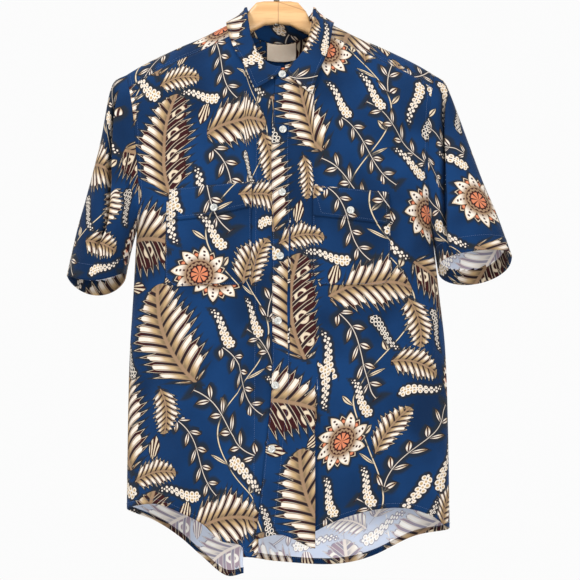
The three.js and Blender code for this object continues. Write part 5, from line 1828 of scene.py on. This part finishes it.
def feather(tree, a, b, ink, leaflets, dark=None):
    """A feathered leaf with dark spines outside it; dark tells how much has the maroon half."""
    lean = a - b * b * 0.22 + 0.08
    side = lean.size()
    width = (1.0 - b * b).math("MAXIMUM", 0.0).math("SQRT") * ((b * 9.0).math("SINE") * 0.04 + 0.5)
    slant = b - side * 0.9 + side * side * 0.45
    notch = band(slant, leaflets)
    leaf = width * (1.0 - notch.math("POWER", 4.0) * 0.7) - side
    spines = width * 1.32 - band(b - side * 0.5, leaflets * 1.3) * 0.3 - side
    colour = tint(tree, side.step(0.14, 0.3), ink["gold"], ink["white"])
    colour = tint(tree, side.step(0.16, 0.04) * 0.6, colour, ink["line"])
    colour = tint(tree, band(slant + 0.25 / leaflets, leaflets * 2.0).step(0.7, 0.9), colour, ink["tan"])
    if dark is not None:
        scroll = length_of(side - 0.2, (((b * 2.4).math("FRACT")) - 0.5) * 0.42)
        deep = tint(tree, notch.step(0.5, 0.6), ink["maroon"], ink["cream"])
        deep = tint(tree, (scroll - 0.1).size().step(0.04, 0.018), deep, ink["cream"])
        half = (lean * 9.0 + 0.5).math("MAXIMUM", 0.0).math("MINIMUM", 1.0)
        colour = tint(tree, half * dark, colour, deep)
    colour = tint(tree, notch.step(0.55, 0.78), colour, ink["line"])
    colour = tint(tree, side.step(0.045, 0.02), colour, ink["tan"])
    fringe = tint(tree, spines.step(0.035, 0.07), ink["cream"], ink["maroon"])
    return leaf.math("MAXIMUM", spines), tint(tree, leaf.step(-0.01, 0.01), fringe, colour)


print("leaves on one repeat:", len(MIDDLE_MOTIFS[LEAF]))


# %% Flower and bloom
PETALS = 8


def ringed_flower(tree, a, b, ink):
    """Pale pointed petals over dark ones, a little swirled, round a ringed heart."""
    reach = length_of(a, b)
    turn = a.math("ARCTAN2", b) * (PETALS / (2 * math.pi)) + reach * 0.45
    edge = band(turn, 1.0)
    front = (1.0 - edge).math("POWER", 0.6) * 0.52 + 0.4 - reach
    behind = edge.math("POWER", 0.7) * 0.4 + 0.42 - reach
    petal = tint(tree, reach.step(0.42, 0.66), ink["tan"], ink["white"])
    dots = band(reach, 9.0).step(0.7, 0.4) * edge.step(0.2, 0.08) * reach.step(0.84, 0.74)
    petal = tint(tree, dots, petal, ink["maroon"])
    petal = tint(tree, front.step(0.09, 0.05) * 0.6, petal, ink["gold"])
    spot = length_of(reach - 0.62, (1.0 - edge) * 0.2).step(0.07, 0.03)
    dark = tint(tree, spot, ink["maroon"], ink["salmon"])
    dark = tint(tree, behind.step(0.07, 0.04), dark, ink["cream"])
    petal = tint(tree, front.step(-0.012, 0.006), dark, petal)
    petal = tint(tree, front.size().step(0.03, 0.014) * reach.step(0.4, 0.5), petal, ink["line"])
    heart = tint(tree, edge.step(0.2, 0.4), ink["line"], ink["salmon"])
    wavy = (reach + band(turn, 2.0) * 0.05 - 0.37).size().step(0.045, 0.025)
    ring = tint(tree, wavy, ink["maroon"], ink["tan"])
    colour = tint(tree, reach.step(0.24, 0.27), heart, ring)
    return front.math("MAXIMUM", behind), tint(tree, reach.step(0.4, 0.43), colour, petal)


def scaled_bloom(tree, a, b, ink):
    """A bud of pointed bracts in rows that fan out from its foot."""
    side = a.size()
    up = b + 1.15
    row = length_of(a, up) * 3.4
    parity = (row.math("FLOOR") * 0.5).math("FRACT")
    tip = row.math("FRACT") + band(a.math("ARCTAN2", up) * 3.2 + parity, 1.0) * 0.7
    width = (1.0 - b * b).math("MAXIMUM", 0.0).math("SQRT") * (b * 0.12 + 0.58)
    colour = tint(tree, tip.step(0.1, 0.5), ink["salmon"], ink["white"])
    colour = tint(tree, tip.step(0.8, 0.9), colour, ink["maroon"])
    rim = tint(tree, band(row, 2.0).step(0.4, 0.6), ink["cream"], ink["maroon"])
    return width - side - band(row, 1.0) * 0.12, tint(tree, (width - side).step(0.16, 0.13), colour, rim)


print("petals on a flower:", PETALS)


# %% Sprig, berries and bud
def paired_sprig(tree, a, b, ink):
    """A bent pale stem with pointed leaves in pairs."""
    side = (a - (b * 2.4).math("SINE") * 0.18).size()
    step_up = ((b * 2.6).math("FRACT") - 0.4) * 0.385
    middle = (side * 0.74 + step_up * 0.67 - 0.17) * 6.2
    across = (step_up * 0.74 - side * 0.67).size()
    leaf = (1.0 - middle * middle) * 0.06 - across
    inside = leaf.math("MAXIMUM", 0.024 - side).math("MINIMUM", 0.96 - b.size())
    colour = tint(tree, middle.step(-0.2, 0.9), ink["white"], ink["gold"])
    return inside, tint(tree, across.step(0.02, 0.008) * leaf.step(0.01, 0.03), colour, ink["maroon"])


def berry_chain(tree, a, b, ink, hollow):
    """Berries in three rows that thin out along a bent stem; hollow is 1 where they are rings."""
    side = (a - (b * 2.4).math("SINE") * 0.2).size()
    full = (0.105 - b * 0.045) * (1.0 - (b * b).math("POWER", 4.0))
    outer = full - length_of(side - full * 0.95, ((b * 4.5).math("FRACT") - 0.5) * 0.222)
    inner = full * 0.9 - length_of(side, ((b * 4.5 + 0.5).math("FRACT") - 0.5) * 0.222)
    inside = outer.math("MAXIMUM", inner)
    colour = tint(tree, inside.step(0.06, 0.085), ink["white"], ink["gold"])
    return inside, tint(tree, inside.step(0.05, 0.07) * hollow, colour, ink["surround"])


def striped_bud(tree, a, b, ink):
    inside = (1.0 - b * b).math("MAXIMUM", 0.0) * 0.5 - a.size()
    stripe = ((a * (1.4 - b * 0.8)) * 17.0).math("SINE").step(-0.2, 0.3)
    return inside, tint(tree, stripe, ink["maroon"], ink["cream"])


print("sprigs on one repeat:", len(MIDDLE_MOTIFS[SPRIG]))


# %% Draw one layer
OUTLINE = {"large": 0.036, "middle": 0.026, "small": 0.042}


def draw_layer(tree, layer, base, ink):
    """Draws one layer's motifs over a base colour."""
    place = tree.nodes.new("ShaderNodeAttribute")
    place.attribute_name = layer
    a, b, kind = split(tree, place.outputs["Vector"])

    def is_kind(number):
        return kind.math("COMPARE", number, 0.1)

    if layer == "large":
        leaf = feather(tree, a, b, ink, 5.0, is_kind(DARK_FROND))
        shapes = [
            (is_kind(FROND) + is_kind(DARK_FROND), *leaf),
            (is_kind(FLOWER), *ringed_flower(tree, a, b, ink)),
            (is_kind(BLOOM), *scaled_bloom(tree, a, b, ink)),
        ]
    elif layer == "middle":
        shapes = [
            (is_kind(LEAF), *feather(tree, a, b, ink, 4.0)),
            (is_kind(SPRIG), *paired_sprig(tree, a, b, ink)),
        ]
    else:
        shapes = [
            (is_kind(BERRIES) + is_kind(RINGS), *berry_chain(tree, a, b, ink, is_kind(RINGS))),
            (is_kind(BUD), *striped_bud(tree, a, b, ink)),
        ]
    inside = kind * 0.0 - 1.0
    colour = ink["cream"]
    for here, field, paint in shapes:
        inside = inside + here * (field + 1.0)
        colour = tint(tree, here, colour, paint)
    base = tint(tree, inside.step(-0.13, -0.04) * 0.85, base, ink["surround"])
    colour = tint(tree, inside.step(0.3 * OUTLINE[layer], OUTLINE[layer]), ink["line"], colour)
    return tint(tree, inside.step(-0.012, 0.004), base, colour)


print("outline of each layer's motifs:", OUTLINE)


# %% Vines between the motifs
# Each vine: where it starts across the bolt, its swing, its waves a repeat and its phase
VINES = [(90, 44, 2, 0.4), (330, 52, 1, 2.2)]
VINE_HALF = 1.4
VINE_STEP = 42.0
VINE_LEAF, VINE_LEAF_HALF = 13.0, 3.6


def on_map(tree, name, scale):
    """Both numbers of a UV map, scaled."""
    uv = tree.nodes.new("ShaderNodeUVMap")
    uv.uv_map = name
    return [number * scale for number in split(tree, uv.outputs["UV"])[:2]]


def draw_vines(tree, base, ink):
    """Winding stems with a leaf on either side in turn, in millimetres on the bolt."""
    x, y = on_map(tree, "bolt", 1 / MM)
    wide = float(BOLT[0])
    for start, swing, waves, phase in VINES:
        bend = (y * (2 * math.pi * waves / float(BOLT[1])) + phase).math("SINE") * swing
        off = (((x - bend - start) * (1 / wide) + 0.5).math("FRACT") - 0.5) * wide
        along = (y + start) * (1 / VINE_STEP)
        out = off * ((along.math("FLOOR") * 0.5).math("FRACT") * 4.0 - 1.0)
        up = (along.math("FRACT") - 0.5) * VINE_STEP
        middle = (out * 0.8 + up * 0.6 - VINE_LEAF) * (1 / VINE_LEAF)
        across = (up * 0.8 - out * 0.6).size()
        leaf = (1.0 - middle * middle) * VINE_LEAF_HALF - across
        inside = leaf.math("MAXIMUM", VINE_HALF - off.size())
        colour = tint(tree, across.step(1.1, 0.4) * leaf.step(0.5, 1.5), ink["cream"], ink["maroon"])
        colour = tint(tree, inside.step(0.1, 0.9), ink["surround"], colour)
        base = tint(tree, inside.step(-1.6, 0.1), base, colour)
    return base


print("vines on one repeat:", len(VINES))

# %% [markdown]
# ## Cloth, inside and out
# The printed face is a deep blue cotton, a little uneven as dyed cloth is. The reverse is the same
# drawing in washed-out colours, since the ink barely goes through. Both have a plain weave and a fine
# crumple as bump, and a weak sheen.

# %% Inks and cloth material
# Screen colours of each ink on the face and on the reverse; the ground has two shades
INKS = {
    "ground": ((0, 30, 62), (198, 208, 228)),
    "ground_light": ((6, 47, 90), (214, 221, 236)),
    "surround": ((24, 31, 38), (204, 210, 224)),
    "white": ((208, 198, 186), (253, 250, 246)),
    "cream": ((194, 178, 154), (246, 241, 234)),
    "tan": ((134, 108, 84), (232, 222, 214)),
    "gold": ((166, 140, 102), (234, 226, 216)),
    "maroon": ((46, 12, 14), (166, 148, 160)),
    "line": ((30, 20, 24), (150, 146, 162)),
    "salmon": ((186, 112, 80), (228, 204, 194)),
}
THREAD_PITCH = 0.00052
DYE_SCALE, CRUMPLE_SCALE, CRUMPLE_DETAIL = 9.0, 38.0, 3.0
WEAVE_DEPTH, CRUMPLE_DEPTH = 0.00005, 0.0021


def new_material(name, roughness, **sockets):
    """A material, its tree and its shader, with sockets set by their names in small letters."""
    material = bpy.data.materials.new(name)
    material.use_nodes = True
    shader = material.node_tree.nodes["Principled BSDF"]
    shader.inputs["Roughness"].default_value = roughness
    for socket in shader.inputs:
        key = socket.name.lower().replace(" ", "_")
        if key in sockets:
            socket.default_value = sockets[key]
    return material, material.node_tree, shader


def noise(tree, vector, scale, detail=2.0):
    node = tree.nodes.new("ShaderNodeTexNoise")
    node.inputs["Scale"].default_value = scale
    node.inputs["Detail"].default_value = detail
    tree.links.new(vector, node.inputs["Vector"])
    return Wire(tree, node.outputs["Fac"])


def own_place(tree):
    return tree.nodes.new("ShaderNodeTexCoord").outputs["Object"]


def add_bump(tree, shader, layers):
    """Stacks bumps, each a height and its depth in metres."""
    normal = None
    for height, depth in layers:
        bump = tree.nodes.new("ShaderNodeBump")
        bump.inputs["Strength"].default_value = 1.0
        bump.inputs["Distance"].default_value = depth
        tree.links.new(height.socket, bump.inputs["Height"])
        if normal is not None:
            tree.links.new(normal, bump.inputs["Normal"])
        normal = bump.outputs["Normal"]
    tree.links.new(normal, shader.inputs["Normal"])


def weave(tree):
    """Height of a plain weave, from the place on the cloth."""
    across, down = on_map(tree, "cloth", 2 * math.pi / THREAD_PITCH)
    return across.math("SINE") * down.math("SINE")


def cotton(name, face):
    """The cotton's printed face (0) or its reverse (1)."""
    ink = {key: rgb(*colours[face]) for key, colours in INKS.items()}
    material, tree, shader = new_material(
        name, 0.82, sheen_weight=0.03, sheen_roughness=0.5, specular_ior_level=0.12
    )
    place = own_place(tree)
    colour = tint(tree, noise(tree, place, DYE_SCALE).step(0.3, 0.7), ink["ground"], ink["ground_light"])
    colour = draw_vines(tree, colour, ink)
    for layer in LAYERS:
        colour = draw_layer(tree, layer, colour, ink)
    tree.links.new(colour, shader.inputs["Base Color"])
    crumple = noise(tree, place, CRUMPLE_SCALE, CRUMPLE_DETAIL)
    add_bump(tree, shader, [(crumple, CRUMPLE_DEPTH), (weave(tree), WEAVE_DEPTH)])
    print(name, "nodes:", len(tree.nodes))
    return material


printed_cotton = cotton("printed_cotton_face", 0)
cotton_reverse = cotton("printed_cotton_reverse", 1)

# %% [markdown]
# ## Label, thread, shell, wood and wire
# The small things need finishes of their own: a ribbed woven label, blue thread, milky shell with a
# clear coat, straight-grained pale wood with the finger joint in its middle, and darkened steel wire.

# %% Other materials
def woven_label():
    material, tree, shader = new_material("woven_label_cream", 0.7, sheen_weight=0.2)
    colour = tint(tree, noise(tree, own_place(tree), 240.0), rgb(250, 226, 200), rgb(255, 240, 220))
    tree.links.new(colour, shader.inputs["Base Color"])
    add_bump(tree, shader, [(weave(tree), WEAVE_DEPTH * 2)])
    return material


def sewing_thread():
    material, tree, shader = new_material("sewing_thread_blue", 0.6, sheen_weight=0.3)
    colour = tint(tree, noise(tree, own_place(tree), 900.0), rgb(44, 70, 112), rgb(78, 106, 150))
    tree.links.new(colour, shader.inputs["Base Color"])
    return material


def shell_button():
    material, tree, shader = new_material("shell_button_white", 0.22, coat_weight=0.5, coat_roughness=0.08)
    swirl = noise(tree, own_place(tree), 320.0, 3.0)
    colour = tint(tree, swirl.step(0.3, 0.7), rgb(146, 149, 148), rgb(194, 192, 184))
    tree.links.new(colour, shader.inputs["Base Color"])
    add_bump(tree, shader, [(swirl, 0.00008)])
    return material


def dark_wire():
    material, tree, shader = new_material("dark_wire_steel", 0.36, metallic=1.0)
    stain = noise(tree, own_place(tree), 180.0, 3.0)
    colour = tint(tree, stain.step(0.35, 0.7), rgb(92, 90, 88), rgb(140, 137, 132))
    tree.links.new(colour, shader.inputs["Base Color"])
    add_bump(tree, shader, [(stain, 0.0001)])
    return material


label_cloth, thread = woven_label(), sewing_thread()
button_shell, wire = shell_button(), dark_wire()
print("small finishes:", [material.name for material in (label_cloth, thread, button_shell, wire)])


# %% Wood with a joint
JOINT_X, JOINT_HALF = 0.0026, 0.0005
SCARF_FROM, SCARF_TO = (-0.001, -0.076), (0.056, -0.096)
SCARF_EASE = 0.002


def pale_wood():
    material, tree, shader = new_material("pale_wood_oiled", 0.42, coat_weight=0.15, coat_roughness=0.3)
    place = own_place(tree)
    stretch = tree.nodes.new("ShaderNodeMapping")
    stretch.inputs["Scale"].default_value = (0.06, 1.0, 1.0)
    tree.links.new(place, stretch.inputs["Vector"])
    grain = noise(tree, stretch.outputs["Vector"], 620.0, 4.0)
    broad = noise(tree, stretch.outputs["Vector"], 95.0, 2.0)
    colour = tint(tree, broad.step(0.3, 0.7), rgb(206, 165, 114), rgb(188, 142, 90))
    colour = tint(tree, grain.step(0.55, 0.72) * 0.5, colour, rgb(164, 116, 70))
    x, _, z = split(tree, place)
    straight = (x - JOINT_X).size().step(2 * JOINT_HALF, JOINT_HALF)
    (x0, z0), (x1, z1) = SCARF_FROM, SCARF_TO
    reach = math.hypot(x1 - x0, z1 - z0)
    off = (x - x0) * ((z1 - z0) / reach) - (z - z0) * ((x1 - x0) / reach)
    half = (x1 - x0) / 2
    near = (x - (x0 + x1) / 2).size().step(half + SCARF_EASE, half)
    scarf = off.size().step(2 * JOINT_HALF, JOINT_HALF) * near
    line = straight.math("MAXIMUM", scarf) * 0.55
    tree.links.new(tint(tree, line, colour, rgb(126, 82, 46)), shader.inputs["Base Color"])
    add_bump(tree, shader, [(grain, 0.00015)])
    return material


wood = pale_wood()
buttons = set_buttons(button_shell)
stitches = sew("shirt_topstitching", stitch_lines, thread)

# %% [markdown]
# ## Put it together
# Each piece takes its materials, rides on the one body and stands for its solid in the frame. Each cloth
# piece also says how large it was cut, measured over its own grid, before it was hung.


CLOTH = [
    (front_right, "front_right", "hung", ["shirt_yoke"]),
    (front_left, "front_left", "hung", ["shirt_yoke", "shirt_front_right"]),
    (back, "back", "hung", ["shirt_yoke"]),
    (yoke, "yoke", "draped", ["hanger_arms"]),
    (sleeve_right, "sleeve_right", "hung", ["shirt_yoke"]),
    (sleeve_left, "sleeve_left", "hung", ["shirt_yoke"]),
    (stand, "collar_stand", "stretched", ["shirt_yoke"]),
    (leaf, "collar_leaf", "folded", ["shirt_collar_stand"]),
    (pocket_right, "pocket_right", "hung", ["shirt_front_right"]),
    (pocket_left, "pocket_left", "hung", ["shirt_front_left"]),
    (flap_right, "pocket_flap_right", "hung", ["shirt_front_right"]),
    (flap_left, "pocket_flap_left", "hung", ["shirt_front_left"]),
    (label, "neck_label", "hung", ["shirt_yoke"]),
]
for piece, node, held, rests_on in CLOTH:
    is_label = node == "neck_label"
    for finish in [label_cloth] * 2 if is_label else [printed_cotton, cotton_reverse]:
        piece.data.materials.append(finish)
    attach(piece, "root")
    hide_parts(node)

# %% Buttons, hanger and hook
hanger.data.materials.append(wood)
for piece in (hook, *washers.values()):
    piece.data.materials.append(wire)

button_nodes = [f"button_{k + 1}" for k in range(len(PLACKET_BUTTONS))]
button_nodes += ["button_flap_right", "button_flap_left", "button_stand"]
for piece, nodes, slot in (
    (buttons, button_nodes, "pearl_button"),
    (hanger, ["hanger_wood"], "honey_wood"),
    (hook, ["hanger_hook"], "dark_wire"),
    (washers["hanger_hook_washer"], ["hook_collar"], "dark_wire"),
    (washers["hanger_hook_nut"], ["hook_nut"], "dark_wire"),
    (stitches, [], "printed_cotton"),
):
    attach(piece, "root")
    if nodes:
        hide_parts(*nodes)
    print(piece.name, "stands for", nodes or "nothing: it is sewn on")

# %% [markdown]
# ## Room and light
# The floor is pale and far below, since the shirt hangs. Soft light comes from a panel high in front, a
# weaker one low in front, which reaches under the hem, and one behind. The pale surroundings fill the
# rest, as on a studio's white wall.

# %% Floor, lights and surroundings
FLOOR_Z = -2.4
FLOOR_HALF = 9.0
LIGHTS = [
    ("key_panel", (-1.6, -2.1, 2.0), 0.9, 100),
    ("fill_panel", (1.5, -3.0, -0.7), 1.4, 50),
    ("back_panel", (0.8, 2.8, 0.9), 2.0, 34),
]
LOOK_AT = (0.02, 0.0, -0.5)
SURROUND_LIGHT = 0.97


def make_floor():
    bm = bmesh.new()
    bmesh.ops.create_grid(bm, x_segments=2, y_segments=2, size=FLOOR_HALF)
    bmesh.ops.translate(bm, verts=bm.verts[:], vec=(0, 0, FLOOR_Z))
    floor = object_from(bm, "studio_floor", smooth=False)
    material, tree, shader = new_material("pale_floor", 0.9)
    mottled = noise(tree, own_place(tree), 1.5)
    tree.links.new(tint(tree, mottled, rgb(238, 238, 236), rgb(246, 246, 244)), shader.inputs["Base Color"])
    floor.data.materials.append(material)
    return floor


def make_light(name, place, size, power):
    light = placed(name, bpy.data.lights.new(name, "AREA"))
    light.data.shape = "SQUARE"
    light.data.size = size
    light.data.energy = power
    light.location = place
    aim = [goal - at for goal, at in zip(LOOK_AT, place)]
    level = math.hypot(aim[0], aim[1])
    light.rotation_euler = (math.atan2(level, -aim[2]), 0, math.atan2(-aim[0], aim[1]))
    return light


make_floor()
for row in LIGHTS:
    make_light(*row)
world = bpy.data.worlds.new("studio_white")
world.use_nodes = True
surround = world.node_tree.nodes["Background"]
surround.inputs["Color"].default_value = (1, 1, 1, 1)
surround.inputs["Strength"].default_value = SURROUND_LIGHT
bpy.context.scene.world = world
bpy.context.scene.view_settings.view_transform = "Standard"
print("lights:", len(LIGHTS))
